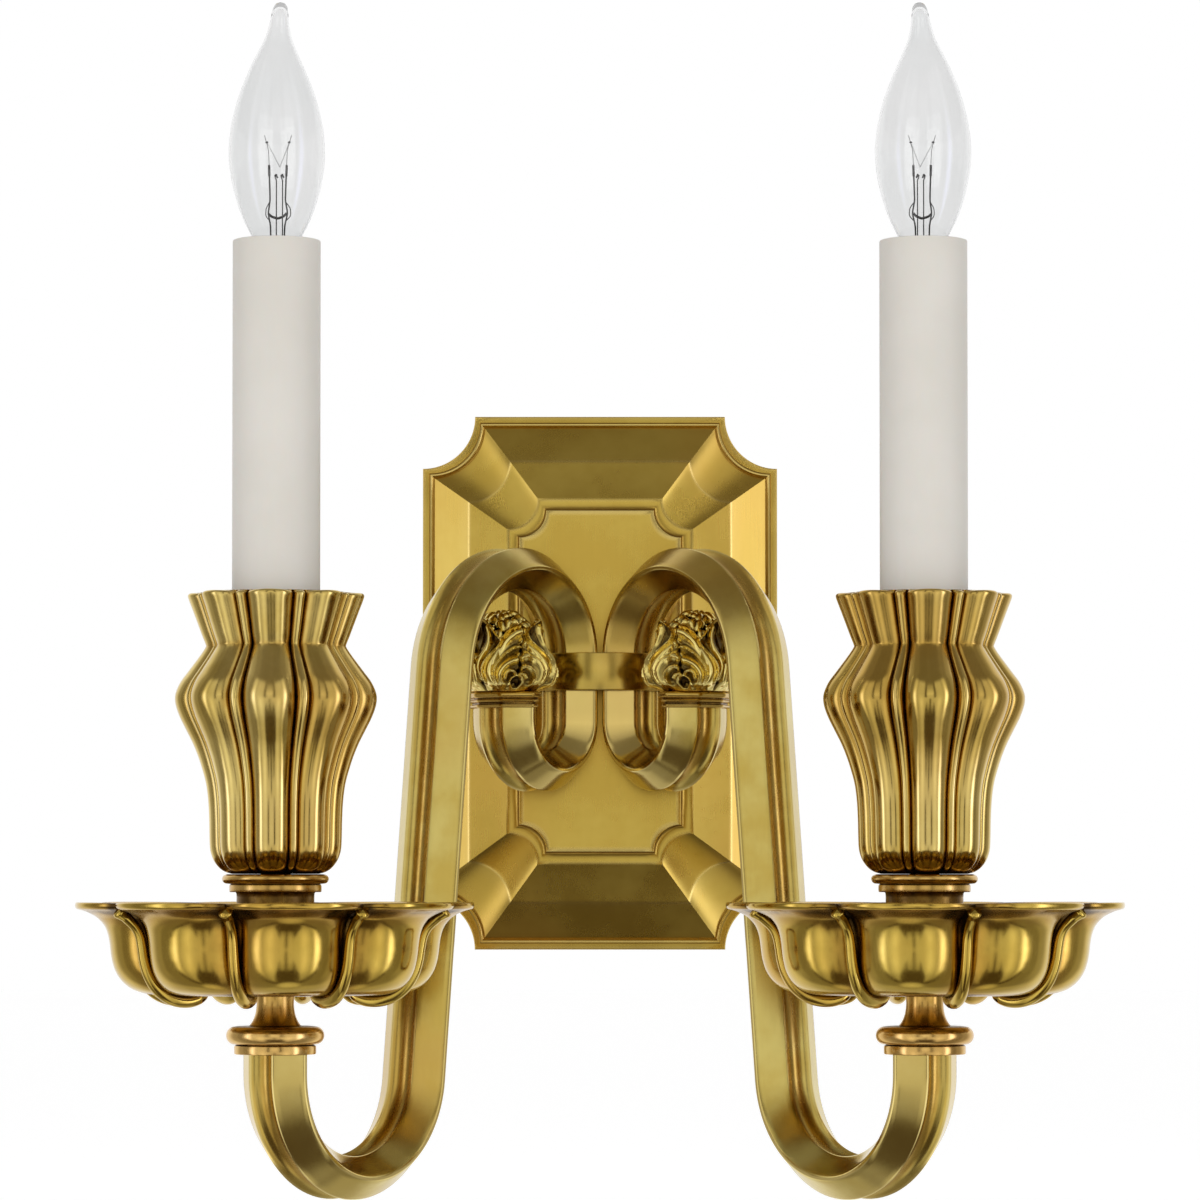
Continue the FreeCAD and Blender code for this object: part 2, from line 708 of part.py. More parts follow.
def pan_rib(angle):
    """A rib in the joint between two petals."""
    def at(share, up):
        return PAN_LIP_R * share, PAN_LOW + PAN_RISE * up
    outline = [at(*p) if isinstance(p[0], float) else (at(*p[0]), at(*p[1])) for p in RIB_OUTLINE]
    rib = line_profile(outline)
    rib.translate(Vector(0, -RIB_WIDTH / 2, 0))
    rib = rib.extrude(Vector(0, RIB_WIDTH, 0))
    rib.rotate(ORIGIN, Z_AXIS, angle)
    return rib


def make_neck_spacer():
    floor = PAN_LOW + PAN_FLOOR
    torus_r = (CUP_LOW - NECK_TORUS_LOW) / 2
    outline = turned([
        (0, floor), (NECK_R, floor), (NECK_R, NECK_RING_LOW), (NECK_RING_R, NECK_RING_LOW),
        (NECK_RING_R, NECK_TORUS_LOW), (NECK_TORUS_R - torus_r, NECK_TORUS_LOW),
        ((NECK_TORUS_R, NECK_TORUS_LOW + torus_r), (NECK_TORUS_R - torus_r, CUP_LOW)), (0, CUP_LOW),
    ])
    return outline.cut(nipple_hole())


# Lobe crests of the cup from the rim down: share of its height below the rim, and share of the rim's radius
LOBE_STATIONS = [
    (0, 0.98), (0.0121, 1), (0.1888, 0.791), (0.2602, 0.98), (0.3227, 1.12),
    (0.3743, 1.143), (0.4336, 1.09), (0.5346, 0.937), (0.6169, 0.843), (0.6992, 0.767),
    (0.9023, 0.745), (0.9484, 0.68), (1, 0.555),
]


def fluted_outline(z, crest):
    """Broad lobes with a narrow bead in each joint between them."""
    half = math.pi / CUP_LOBES
    bead_half = math.radians(CUP_BEAD_HALF_ANGLE)
    edges = []
    for k in range(CUP_LOBES):
        middle = math.radians(CUP_TURN) + 2 * half * k
        start = radial(crest * CUP_VALLEY, middle - half + bead_half, z)
        top = radial(crest, middle, z)
        end = radial(crest * CUP_VALLEY, middle + half - bead_half, z)
        bead = radial(crest * CUP_BEAD, middle + half, z)
        after = radial(crest * CUP_VALLEY, middle + half + bead_half, z)
        edges.append(Part.Arc(start, top, end).toShape())
        edges.append(Part.LineSegment(end, bead).toShape())
        edges.append(Part.LineSegment(bead, after).toShape())
    return Part.Wire(edges)


def make_candle_cup():
    outside = []
    for down, share in LOBE_STATIONS:
        outside.append(fluted_outline(CUP_TOP - CUP_HEIGHT * down, CUP_RIM_R * share))
    cup = Part.makeLoft(outside[::-1], True, True)
    seat_r = SLEEVE_R + SLEEVE_FIT
    inside = turned([
        (0, CUP_FLOOR), (seat_r, CUP_FLOOR), (seat_r, CUP_THROAT_Z - CUP_THROAT_DROP),
        (CUP_THROAT_R, CUP_THROAT_Z), (CUP_MOUTH_R, CUP_TOP), (0, CUP_TOP),
    ])
    cup = cup.cut(inside).cut(nipple_hole())
    return cup.cut(cylinder(CUP_LOWER_BORE_R, CUP_LOW, CUP_FLOOR_LOW))


def make_locknut():
    return hexagon(LOCKNUT_R, CUP_FLOOR, BRACKET_LOW).cut(cylinder(NIPPLE_R, CUP_FLOOR, BRACKET_LOW))


def make_socket_bracket():
    """A foot on the nipple and a leg up to the flat of the socket's body."""
    foot = cylinder(BRACKET_FOOT_R, BRACKET_LOW, BRACKET_LOW + BRACKET_THICK)
    outer = BODY_FLAT + BRACKET_THICK
    half = BRACKET_WIDTH / 2
    reach = box(0, outer, -half, half, BRACKET_LOW, BRACKET_LOW + BRACKET_THICK)
    leg = box(BODY_FLAT, outer, -half, half, BRACKET_LOW, BODY_LOW + BODY_LENGTH / 2)
    bracket = foot.fuse([reach, leg]).removeSplitter()
    return bracket.cut(cylinder(NIPPLE_R, BRACKET_LOW, BRACKET_LOW + BRACKET_THICK))


def make_socket_body():
    """The insulating body, with a flat for the bracket and a bore for the screw shell."""
    body = cylinder(BODY_R, BODY_LOW, BODY_TOP)
    body = body.cut(box(BODY_FLAT, BODY_R + 1, -BODY_R, BODY_R, BODY_LOW, BODY_TOP))
    return body.cut(cylinder(shell_r(), contact_low(), BODY_TOP))


def shell_r():
    return BASE_R + SHELL_FIT + SHELL_WALL


def contact_low():
    return BULB_TIP_LOW - CONTACT_THICK


def make_socket_shell():
    """The screw shell round the lamp's base, and the centre contact under its tip."""
    shell = cylinder(shell_r(), BASE_LOW, BODY_TOP).cut(cylinder(BASE_R + SHELL_FIT, BASE_LOW, BODY_TOP))
    contact = cylinder(CONTACT_R, contact_low(), BULB_TIP_LOW)
    return Part.makeCompound([shell, contact])


def make_sleeve():
    return cylinder(SLEEVE_R, CUP_FLOOR, SLEEVE_TOP).cut(cylinder(SLEEVE_BORE_R, CUP_FLOOR, SLEEVE_TOP))


def make_bulb_base():
    base = cylinder(BASE_R, BASE_LOW, BASE_TOP)
    base = base.cut(cylinder(BASE_R - BASE_WALL, BASE_LOW + BASE_WALL * 2, BASE_TOP))
    return base.fuse(cylinder(BASE_TIP_R, BULB_TIP_LOW, BASE_LOW)).removeSplitter()


# The flame shape from the neck up: share of its widest radius and of its length. A pair is the middle and end
# of an arc.
FLAME_OUTLINE = [
    ((0.530, 0.096), (0.782, 0.209)), ((1.0, 0.412), (0.820, 0.592)), (0.555, 0.725), (0.252, 0.864),
]
TIP_TOP_R = 1.2
TIP_WAIST_R = 2.2


def glass_profile(inset):
    """Half of the flame shape, drawn in by an inset."""
    def at(share, up):
        return GLASS_R * share - inset, BASE_TOP + GLASS_LENGTH * up
    flame = [at(*p) if isinstance(p[0], float) else (at(*p[0]), at(*p[1])) for p in FLAME_OUTLINE]
    return [(GLASS_NECK_R - inset, BASE_TOP)] + flame


def make_bulb_glass():
    tip = BASE_TOP + GLASS_LENGTH
    neck_low = BASE_TOP - GLASS_IN_BASE
    outer = turned([(0, neck_low), (GLASS_NECK_R, neck_low)] + glass_profile(0.0)
                   + [(TIP_WAIST_R, tip - TIP_WAIST_R), (TIP_TOP_R, tip), (0, tip)])
    hollow_top = tip - GLASS_IN_BASE
    inner = turned([(0, neck_low), (GLASS_NECK_R - GLASS_WALL, neck_low)] + glass_profile(GLASS_WALL)
                   + [(TIP_TOP_R, hollow_top), (0, hollow_top)])
    return outer.cut(inner)


def make_bulb_mount():
    """The glass stem, two leads and the V of the filament."""
    low = BASE_TOP - GLASS_IN_BASE
    flare_r = GLASS_NECK_R - GLASS_WALL
    stem = turned([(0, low), (flare_r, low), (flare_r, low + STEM_FLARE), (STEM_R, low + 2 * STEM_FLARE),
                   (STEM_R, BASE_TOP), (0, BASE_TOP)])
    top = BASE_TOP + LEAD_LENGTH
    pieces = [stem]
    for s in (-1, 1):
        x = s * LEAD_SPACING / 2
        pieces.append(round_bar(Vector(x, 0, BASE_TOP - 2), Vector(x, 0, top - FILAMENT_DROP), LEAD_R))
        high = Vector(x * 1.2, 0, top)
        pieces.append(round_bar(Vector(x, 0, top - FILAMENT_DROP - 1), high, FILAMENT_R))
        pieces.append(round_bar(high, Vector(0, 0, top - FILAMENT_DROP), FILAMENT_R))
    return fused(pieces)


def round_bar(start, end, radius):
    run = end - start
    return Part.makeCylinder(radius, run.Length, start, run)


# ---- Placing ----

def placed(shape):
    """From the left arm's frame to the light's."""
    copy = shape.copy()
    copy.rotate(ORIGIN, Z_AXIS, 180 + ARM_ANGLE)
    copy.translate(Vector(-STRAP_X, -STRAP_Y, 0))
    return copy


def on_candle(shape):
    """From the candle's own axis to the left arm's frame."""
    copy = shape.copy()
    copy.translate(Vector(ARM_REACH, 0, 0))
    return copy


def both_sides(left):
    return [left, left.mirror(ORIGIN, X_AXIS)]


def build():
    nodes = {
        "backplate": make_backplate(),
        "mounting_bar": make_mounting_bar(),
        "plate_grub_screws": make_grub_screws(),
        "ground_screw": make_ground_screw(),
        "clamp_band": make_clamp_band(),
        "clamp_screws": Part.makeCompound(both_sides(placed(make_clamp_screw()))),
    }
    in_place = {
        "arm": make_arm(),
        "arm_screws": make_arm_screws(),
    }
    on_arm = {
        "wire": make_wire(),
        "bud_collar": make_bud_collar(),
        "bud": make_bud(),
        "bud_stud": make_bud_stud(),
    }
    stack = {
        "arm_ferrule": make_ferrule(),
        "pedestal": make_pedestal(),
        "nipple": make_nipple(),
        "drip_pan": make_drip_pan(),
        "neck_spacer": make_neck_spacer(),
        "candle_cup": make_candle_cup(),
        "locknut": make_locknut(),
        "socket_bracket": make_socket_bracket(),
        "socket_body": make_socket_body(),
        "socket_shell": make_socket_shell(),
        "candle_sleeve": make_sleeve(),
        "bulb_base": make_bulb_base(),
        "bulb_glass": make_bulb_glass(),
        "bulb_mount": make_bulb_mount(),
    }
    for name, shape in stack.items():
        on_arm[name] = on_candle(shape)
    for name, shape in on_arm.items():
        in_place[name] = placed(shape)
    for name, shape in in_place.items():
        nodes["left_" + name], nodes["right_" + name] = both_sides(shape)
    return nodes


os.makedirs("parts", exist_ok=True)
for node, shape in build().items():
    bad = [s for s in shape.Solids if not s.isValid() or s.Volume <= 0]
    print(node, len(shape.Solids), round(shape.Volume, 1), "invalid" if bad or not shape.Solids else "")
    shape.exportStep("parts/" + node + ".step")
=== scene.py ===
import bmesh
import bpy
import math
import numpy as np
from mathutils import Matrix, Vector


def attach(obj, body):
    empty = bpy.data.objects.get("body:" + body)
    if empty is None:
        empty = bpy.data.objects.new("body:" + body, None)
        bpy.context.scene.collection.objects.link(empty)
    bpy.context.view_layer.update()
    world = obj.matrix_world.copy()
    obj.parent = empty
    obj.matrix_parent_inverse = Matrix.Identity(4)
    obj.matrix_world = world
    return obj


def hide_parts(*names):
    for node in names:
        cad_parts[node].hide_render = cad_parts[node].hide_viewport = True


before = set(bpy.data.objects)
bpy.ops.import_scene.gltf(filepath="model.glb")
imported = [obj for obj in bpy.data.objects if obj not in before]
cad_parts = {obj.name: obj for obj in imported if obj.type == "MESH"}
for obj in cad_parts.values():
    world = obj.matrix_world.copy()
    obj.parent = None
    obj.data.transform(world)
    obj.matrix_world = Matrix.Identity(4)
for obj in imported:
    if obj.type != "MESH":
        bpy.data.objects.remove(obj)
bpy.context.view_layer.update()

# Sizes are in millimetres here and become metres when a mesh is made. The left arm, its bud and its candle
# are made first, and the right ones are their mirror images. Angles about a candle or a bud are counted from
# the arm's own line.
MM = 0.001

PLATE_WIDTH = 125.0
PLATE_HEIGHT = 188.0
PANEL_DEPTH = 21.5
ARM_ANGLE = math.radians(52.0)
ARM_GAP = 1.5
ARM_REACH = 152.0
HALF_BAR = 13.3
RIDGE_OFFSET = 4.85
BAR_COVE = 4.0
BAR_EDGE = 0.65
BAR_RIDGE = BAR_EDGE + (HALF_BAR - RIDGE_OFFSET) / math.tan(ARM_ANGLE)
STRAP_X = HALF_BAR * math.sin(ARM_ANGLE) + BAR_EDGE * math.cos(ARM_ANGLE) + ARM_GAP / 2
STRAP_Y = PANEL_DEPTH + BAR_RIDGE * math.sin(ARM_ANGLE) + RIDGE_OFFSET * math.cos(ARM_ANGLE)
CURL_R = 17.3
CURL_Z = -14.5
ARCH_TOP = 37.2
ARCH_INNER_R = 29.5
ARCH_OUTER_R = 38.5
LEAN = math.radians(6.0)
U_BOTTOM = -167.4
COLLAR_LOW = -10.8
BUD_SEAT = -5.2
FERRULE_LOW = -126.0
PEDESTAL_LOW = -116.9
PAN_LOW = -106.6
PAN_FLOOR_TOP = -104.8
PAN_LIP_R = 64.7
PETALS = 8
PAN_TURN = 3.0
CUP_TOP = 23.5
CUP_FLOOR = -14.0
CUP_LOW = -67.6
CUP_LOBES = 8
CUP_TURN = -8.0
SLEEVE_R = 14.3
SLEEVE_BORE_R = 12.9
SLEEVE_TOP = 138.4
BASE_TIP = 108.9
BASE_LOW = 111.1
BASE_TOP = 130.1
THREAD_PITCH = 2.54
THREAD_DEPTH = 0.45
GLASS_FOOT = 124.1
GLASS_TIP = 216.3
CLAMP_LOW = -4.0
CLAMP_HIGH = 9.0
CLAMP_THICK = 2.4

SIDES = ("left", "right")

# The studio, in metres: the camera's place and tilt, the lamps' size and place, the floor and the tent
CAMERA_PLACE = (0.0, -1.83668, -0.07054)
CAMERA_TILT = 0.03133
LENS = 155.99
LAMP_SIZE = (1.55, 2.3)
LAMP_PLACE = (1.15, -2.25, 0.35)
LAMP_AIM = (0, -0.1, 0.1)
LAMP_POWER = 15.0
FLOOR_Z = -0.42
FLOOR_SIZE = 30.0
TENT_R = 4.0
WORLD_LIGHT = 0.62


# ---- Soft changes ----

def ramp(value, low, high):
    """0 below the low mark, 1 above the high one, with an even change between them."""
    return np.clip((value - low) / (high - low), 0, 1)


def eased(value, low, high):
    """A ramp with soft ends."""
    share = ramp(value, low, high)
    return share * share * (3 - 2 * share)


def bell(value, middle, width):
    return np.exp(-((value - middle) / width) ** 2)


# ---- Lines and skins ----

def shown(name, data):
    """A new object in the scene."""
    piece = bpy.data.objects.new(name, data)
    bpy.context.scene.collection.objects.link(piece)
    return piece


def full_turn(count):
    return np.linspace(0, math.tau, count, endpoint=False)


def ring_at(centre, r, angles, z):
    """A ring of points about an upright axis, r and z each one number or one for each angle."""
    return np.stack([centre[0] + r * np.cos(angles), centre[1] + r * np.sin(angles), z + 0 * angles], 1)


def smooth_line(points, steps=8):
    """A curve through the points. A point given twice running is a corner."""
    points = np.array(points, float)
    corners = [i for i in range(1, len(points)) if np.allclose(points[i], points[i - 1])]
    line = []
    for run in np.split(points, corners):
        if len(run) < 3:
            line.extend(run)
            continue
        padded = np.vstack([2 * run[0] - run[1], run, 2 * run[-1] - run[-2]])
        for p0, p1, p2, p3 in zip(padded, padded[1:], padded[2:], padded[3:]):
            for k in range(steps):
                t = k / steps
                line.append((2 * t ** 3 - 3 * t ** 2 + 1) * p1 + (t ** 3 - 2 * t ** 2 + t) * (p2 - p0) / 2
                            + (3 * t ** 2 - 2 * t ** 3) * p2 + (t ** 3 - t ** 2) * (p3 - p1) / 2)
        line.append(run[-1])
    return np.array(line)


def wall_faces(rows, across, capped=True):
    """The faces between rings, and between the last and the first where these have no caps."""
    faces = []
    for i in range(rows - 1 if capped else rows):
        j = (i + 1) % rows
        for k in range(across):
            m = (k + 1) % across
            faces.append((i * across + k, i * across + m, j * across + m, j * across + k))
    return faces


def skin(name, rings, hollow=None, capped=True):
    """A mesh from rings of points. The first and the last are capped, or joined to each other."""
    rings = np.array(rings, float)
    rows, across = rings.shape[:2]
    verts = [tuple(v) for v in rings.reshape(-1, 3) * MM]
    values = list(np.zeros(rows * across) if hollow is None else np.array(hollow, float).reshape(-1))
    faces = wall_faces(rows, across, capped)
    for row in (0, rows - 1) if capped else ():
        verts.append(tuple(rings[row].mean(0) * MM))
        values.append(values[row * across])
        for k in range(across):
            faces.append((row * across + k, row * across + (k + 1) % across, len(verts) - 1))
    mesh = bpy.data.meshes.new(name)
    mesh.from_pydata(verts, [], faces)
    mesh.validate()
    store(mesh, "hollow", values)
    face_outwards(mesh)
    smooth(mesh, 40)
    return shown(name, mesh)


def store(mesh, name, values):
    """Keeps a number for each point of a mesh, for its finish."""
    attribute = mesh.attributes.new(name, "FLOAT", "POINT")
    attribute.data.foreach_set("value", np.array(values, np.float32))


def face_outwards(mesh):
    work = bmesh.new()
    work.from_mesh(mesh)
    bmesh.ops.remove_doubles(work, verts=work.verts, dist=2e-6)
    bmesh.ops.recalc_face_normals(work, faces=work.faces)
    work.to_mesh(mesh)
    work.free()


def smooth(mesh, degrees):
    mesh.shade_smooth()
    mesh.set_sharp_from_angle(angle=math.radians(degrees))


def turned(name, profile, segments=160, hollow=None, capped=True):
    """A piece turned about the candle's axis, from its outline of radius and height."""
    rings = [ring_at(CANDLE, r, full_turn(segments), z) for r, z in profile]
    if hollow is not None:
        hollow = np.repeat(np.array(hollow, float)[:, None], segments, 1)
    return skin(name, rings, hollow, capped)


def tube(name, path, radius, segments=12, flat=1.0, side=None):
    """A rod along a path, its radius one number or one for each point, its section flattened across side."""
    path = np.array(path, float)
    tangents = np.gradient(path, axis=0)
    tangents /= np.linalg.norm(tangents, axis=1)[:, None]
    reference = np.array(side or (0.3, 1.0, 0.2), float)
    angles = full_turn(segments)
    rings = []
    for point, tangent, r in zip(path, tangents, np.broadcast_to(np.array(radius, float), len(path))):
        across = reference - tangent * reference.dot(tangent)
        across /= np.linalg.norm(across)
        out = np.cross(tangent, across)
        rings.append(point + r * (np.outer(np.cos(angles), across) + flat * np.outer(np.sin(angles), out)))
        reference = reference if side else across
    return skin(name, rings)


def rounded_corner(before, corner, after, cut, count):
    """Points along a corner that is rounded off."""
    a = corner + (before - corner) / np.linalg.norm(before - corner) * cut
    b = corner + (after - corner) / np.linalg.norm(after - corner) * cut
    return [(1 - t) ** 2 * a + 2 * t * (1 - t) * corner + t ** 2 * b for t in np.linspace(0, 1, count)]


def rounded(points, cut):
    """A wire's line with its corners rounded."""
    points = [np.array(p, float) for p in points]
    line = [points[0]]
    for before, corner, after in zip(points, points[1:], points[2:]):
        line += rounded_corner(before, corner, after, cut, 6)
    return np.array(line + [points[-1]])


def joined(name, pieces, degrees=40):
    """One mesh of several pieces."""
    verts = []
    faces = []
    values = []
    for piece in pieces:
        start = len(verts)
        mesh = piece.data
        verts += [tuple(v.co) for v in mesh.vertices]
        faces += [tuple(start + i for i in p.vertices) for p in mesh.polygons]
        values += [a.value for a in mesh.attributes["hollow"].data]
        bpy.data.objects.remove(piece)
    mesh = bpy.data.meshes.new(name)
    mesh.from_pydata(verts, [], faces)
    store(mesh, "hollow", values)
    smooth(mesh, degrees)
    return shown(name, mesh)


def places_of(mesh):
    flat = np.zeros(len(mesh.vertices) * 3)
    mesh.vertices.foreach_get("co", flat)
    return flat.reshape(-1, 3)


def in_room(u, n):
    """A point of the arm's own frame, u along it and n across it, in plan."""
    x = -STRAP_X - u * math.cos(ARM_ANGLE) + n * math.sin(ARM_ANGLE)
    y = -STRAP_Y - u * math.sin(ARM_ANGLE) - n * math.cos(ARM_ANGLE)
    return x, y


CANDLE = in_room(ARM_REACH, 0.0)
BUD = in_room(2 * CURL_R, 0.0)
ARM_TURN = math.pi + ARM_ANGLE


def parts_round(count, first, local):
    """The angles of points round a ring of equal parts, and each point's place in its part from -1 to 1."""
    half = math.pi / count
    places = np.tile(local, count)
    angles = math.radians(first) + half * (2 * np.repeat(np.arange(count), len(local)) + places)
    return angles + ARM_TURN, places


def set_in_place(piece, coat, body="", node=""):
    """The left piece and its mirror image, each on its body and in place of its solids."""
    mesh = piece.data
    mesh.materials.clear()
    mesh.materials.append(COATS[coat])
    other = mesh.copy()
    other.vertices.foreach_set("co", (places_of(mesh) * (-1, 1, 1)).ravel())
    other.flip_normals()
    other.update()
    name = piece.name
    twin = shown("right_" + name, other)
    piece.name = "left_" + name
    for side, made in zip(SIDES, (piece, twin)):
        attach(made, side + "_" + body if body else "wall_assembly")
        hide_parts(side + "_" + (node or name))


def set_in_middle(piece, node, coat):
    """A piece that the two sides share."""
    piece.data.materials.append(COATS[coat])
    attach(piece, "wall_assembly")
    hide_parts(node)


# ---- Node trees ----

def make_tree(name, inputs, kinds, wires):
    """A geometry tree that sets its finish last. A wire is told by its ends, each a node and a socket."""
    tree = bpy.data.node_groups.new(name, "GeometryNodeTree")
    for label, kind in [("Geometry", "Geometry")] + inputs + [("Finish", "Material")]:
        tree.interface.new_socket(label, in_out="INPUT", socket_type="NodeSocket" + kind)
    tree.interface.new_socket("Geometry", in_out="OUTPUT", socket_type="NodeSocketGeometry")
    kinds = dict(kinds, start="NodeGroupInput", realize="GeometryNodeRealizeInstances",
                 finish="GeometryNodeSetMaterial", end="NodeGroupOutput")
    nodes = {key: tree.nodes.new(kind) for key, kind in kinds.items()}
    ending = [("realize", "Geometry", "finish", "Geometry"), ("start", "Finish", "finish", "Material"),
              ("finish", "Geometry", "end", "Geometry")]
    for giver, given, taker, taken in wires + ending:
        tree.links.new(nodes[giver].outputs[given], nodes[taker].inputs[taken])
    return tree, nodes


def run_tree(piece, tree, **settings):
    """Runs the tree on the piece, with its inputs set by name, and keeps the plain mesh that it makes."""
    modifier = piece.modifiers.new("make", "NODES")
    modifier.node_group = tree
    for item in tree.interface.items_tree:
        key = item.name.replace(" ", "_")
        if item.in_out == "INPUT" and key in settings:
            modifier[item.identifier] = settings[key]
    graph = bpy.context.evaluated_depsgraph_get()
    made = bpy.data.meshes.new_from_object(piece.evaluated_get(graph))
    piece.modifiers.remove(modifier)
    piece.data = made


def bar_tree():
    """A moulded bar: the section run along the line, its two ends closed."""
    kinds = {"line": "GeometryNodeMeshToCurve", "section": "GeometryNodeObjectInfo",
             "outline": "GeometryNodeMeshToCurve", "sweep": "GeometryNodeCurveToMesh"}
    wires = [("start", "Geometry", "line", "Mesh"), ("start", "Section", "section", "Object"),
             ("section", "Geometry", "outline", "Mesh"), ("line", "Curve", "sweep", "Curve"),
             ("outline", "Curve", "sweep", "Profile Curve"), ("sweep", "Mesh", "realize", "Geometry")]
    tree, nodes = make_tree("moulded_bar", [("Section", "Object")], kinds, wires)
    nodes["sweep"].inputs["Fill Caps"].default_value = True
    return tree


def circle_tree():
    """Copies of a piece set round an upright axis through the origin."""
    kinds = {"points": "GeometryNodePoints", "index": "GeometryNodeInputIndex", "step": "ShaderNodeMath",
             "angle": "ShaderNodeMath", "turn": "ShaderNodeCombineXYZ",
             "copies": "GeometryNodeInstanceOnPoints"}
    wires = [("start", "Count", "points", "Count"), ("start", "Count", "step", 1),
             ("index", "Index", "angle", 0), ("step", 0, "angle", 1), ("start", "First Angle", "angle", 2),
             ("angle", 0, "turn", "Z"), ("points", 0, "copies", "Points"),
             ("start", "Geometry", "copies", "Instance"), ("turn", 0, "copies", "Rotation"),
             ("copies", "Instances", "realize", "Geometry")]
    tree, nodes = make_tree("set_round", [("Count", "Int"), ("First Angle", "Float")], kinds, wires)
    nodes["step"].operation = "DIVIDE"
    nodes["step"].inputs[0].default_value = math.tau
    nodes["angle"].operation = "MULTIPLY_ADD"
    return tree


# ---- Finishes ----

# Streaks along an upright piece
ALONG = (1.0, 1.0, 0.03)


class Shading:
    """The node tree of a material or of the world, with short words for what goes into it."""

    def __init__(self, owner):
        owner.use_nodes = True
        self.nodes = owner.node_tree.nodes
        self.links = owner.node_tree.links

    def feed(self, socket, value):
        """Gives an input a number, a colour, a size or what another node puts out."""
        if isinstance(value, bpy.types.NodeSocket):
            self.links.new(value, socket)
        else:
            socket.default_value = (*value, 1.0) if socket.type == "RGBA" else value

    def feed_named(self, node, values):
        for key, value in values.items():
            self.feed(node.inputs[key.replace("_", " ")], value)
        return node

    def put(self, kind, **values):
        return self.feed_named(self.nodes.new("ShaderNode" + kind), values)

    def math(self, operation, a, b):
        node = self.put("Math")
        node.operation = operation
        self.feed(node.inputs[0], a)
        self.feed(node.inputs[1], b)
        return node.outputs[0]


class Finish(Shading):
    """A material, its textures set on the piece's own coordinates."""

    def __init__(self, name):
        self.material = bpy.data.materials.new(name)
        super().__init__(self.material)
        self.shader = self.nodes["Principled BSDF"]
        self.place = self.put("TexCoord").outputs["Object"]

    def noise(self, scale, detail=3.0, roughness=0.55, stretch=None):
        place = self.place
        if stretch is not None:
            place = self.put("Mapping", Vector=place, Scale=stretch).outputs["Vector"]
        noise = self.put("TexNoise", Vector=place, Scale=scale, Detail=detail, Roughness=roughness)
        return noise.outputs["Fac"]

    def ranged(self, value, low, high, to_low=0.0, to_high=1.0):
        node = self.put("MapRange", Value=value, From_Min=low, From_Max=high, To_Min=to_low, To_Max=to_high)
        node.interpolation_type = "SMOOTHSTEP"
        return node.outputs["Result"]

    def mixed(self, amount, a, b):
        node = self.put("Mix", Factor=amount)
        node.data_type = "RGBA"
        for socket, value in zip([s for s in node.inputs if s.type == "RGBA"], (a, b)):
            self.feed(socket, value)
        return [s for s in node.outputs if s.type == "RGBA"][0]

    def stored(self, name):
        node = self.put("Attribute")
        node.attribute_name = name
        return node.outputs["Fac"]

    def bump(self, height, distance, strength=1.0, under=None):
        node = self.put("Bump", Height=height, Distance=distance, Strength=strength)
        if under is not None:
            self.feed(node.inputs["Normal"], under)
        return node.outputs["Normal"]

    def set(self, **values):
        self.feed_named(self.shader, values)


def rubbed_brass(name, tones, shade_and_wax_colour, roughness, wobble=0.16, amber=(0.46, 0.265, 0.045)):
    """Hand-rubbed antique brass: cloudy tones, dark brown in the hollows that is partly old polish and
    partly painted shade, and paler metal on the edges that is partly wear and partly painted highlight.
    """
    f = Finish(name)
    bright, deep, warm = tones
    clouds = f.noise(30.0, 4.0, 0.6)
    fine = f.noise(700.0, 3.0, 0.6)
    tone = f.mixed(f.ranged(clouds, 0.36, 0.64), deep, bright)
    tone = f.mixed(f.ranged(f.noise(15.0, 3.0, 0.5), 0.46, 0.66, 0.0, 0.75), tone, warm)
    tone = f.mixed(f.ranged(fine, 0.5, 0.85, 0.0, 0.06), tone, deep)
    # The stored hollow value paints shade along with wax where it is above nought, and a highlight along
    # with wear where it is below.
    shade_and_wax_patches = f.ranged(f.noise(190.0, 3.0), 0.25, 0.65, 0.6, 1.0)
    shade_and_wax_amount = f.math("MULTIPLY", f.stored("hollow"), shade_and_wax_patches)
    wear_and_highlight = f.math("MULTIPLY", f.stored("hollow"), -1.0)
    tone = f.mixed(wear_and_highlight, tone, WEAR_AND_HIGHLIGHT_TONE)
    tone = f.mixed(f.ranged(shade_and_wax_amount, 0.0, 0.4, 0.0, 0.8), tone, amber)
    rubbed = f.noise(1500.0, 2.0, 0.5, ALONG)
    rough = f.math("ADD", f.ranged(rubbed, 0.3, 0.7, *roughness), f.math("MULTIPLY", shade_and_wax_amount, 0.14))
    waves = f.bump(f.noise(48.0, 2.0), 0.0005, wobble)
    # Hollows darken to the wax colour: painted shade together with wax.
    f.set(Base_Color=f.mixed(f.ranged(shade_and_wax_amount, 0.25, 1.0), tone, shade_and_wax_colour), Metallic=1.0,
          Roughness=f.math("ADD", rough, f.ranged(clouds, 0.3, 0.7, -0.02, 0.04)),
          Normal=f.bump(fine, 0.000002, 0.3, waves))
    return f.material


def smooth_finish(name, colour, shade, metallic, roughness):
    """A plain finish with a slight cloud and grain."""
    f = Finish(name)
    clouds = f.noise(50.0, 3.0)
    fine = f.noise(300.0, 3.0)
    f.set(Base_Color=f.mixed(f.ranged(clouds, 0.3, 0.7), shade, colour), Metallic=metallic,
          Roughness=f.ranged(fine, 0.2, 0.8, roughness - 0.06, roughness + 0.08),
          Normal=f.bump(fine, 0.00003, 0.6))
    return f.material


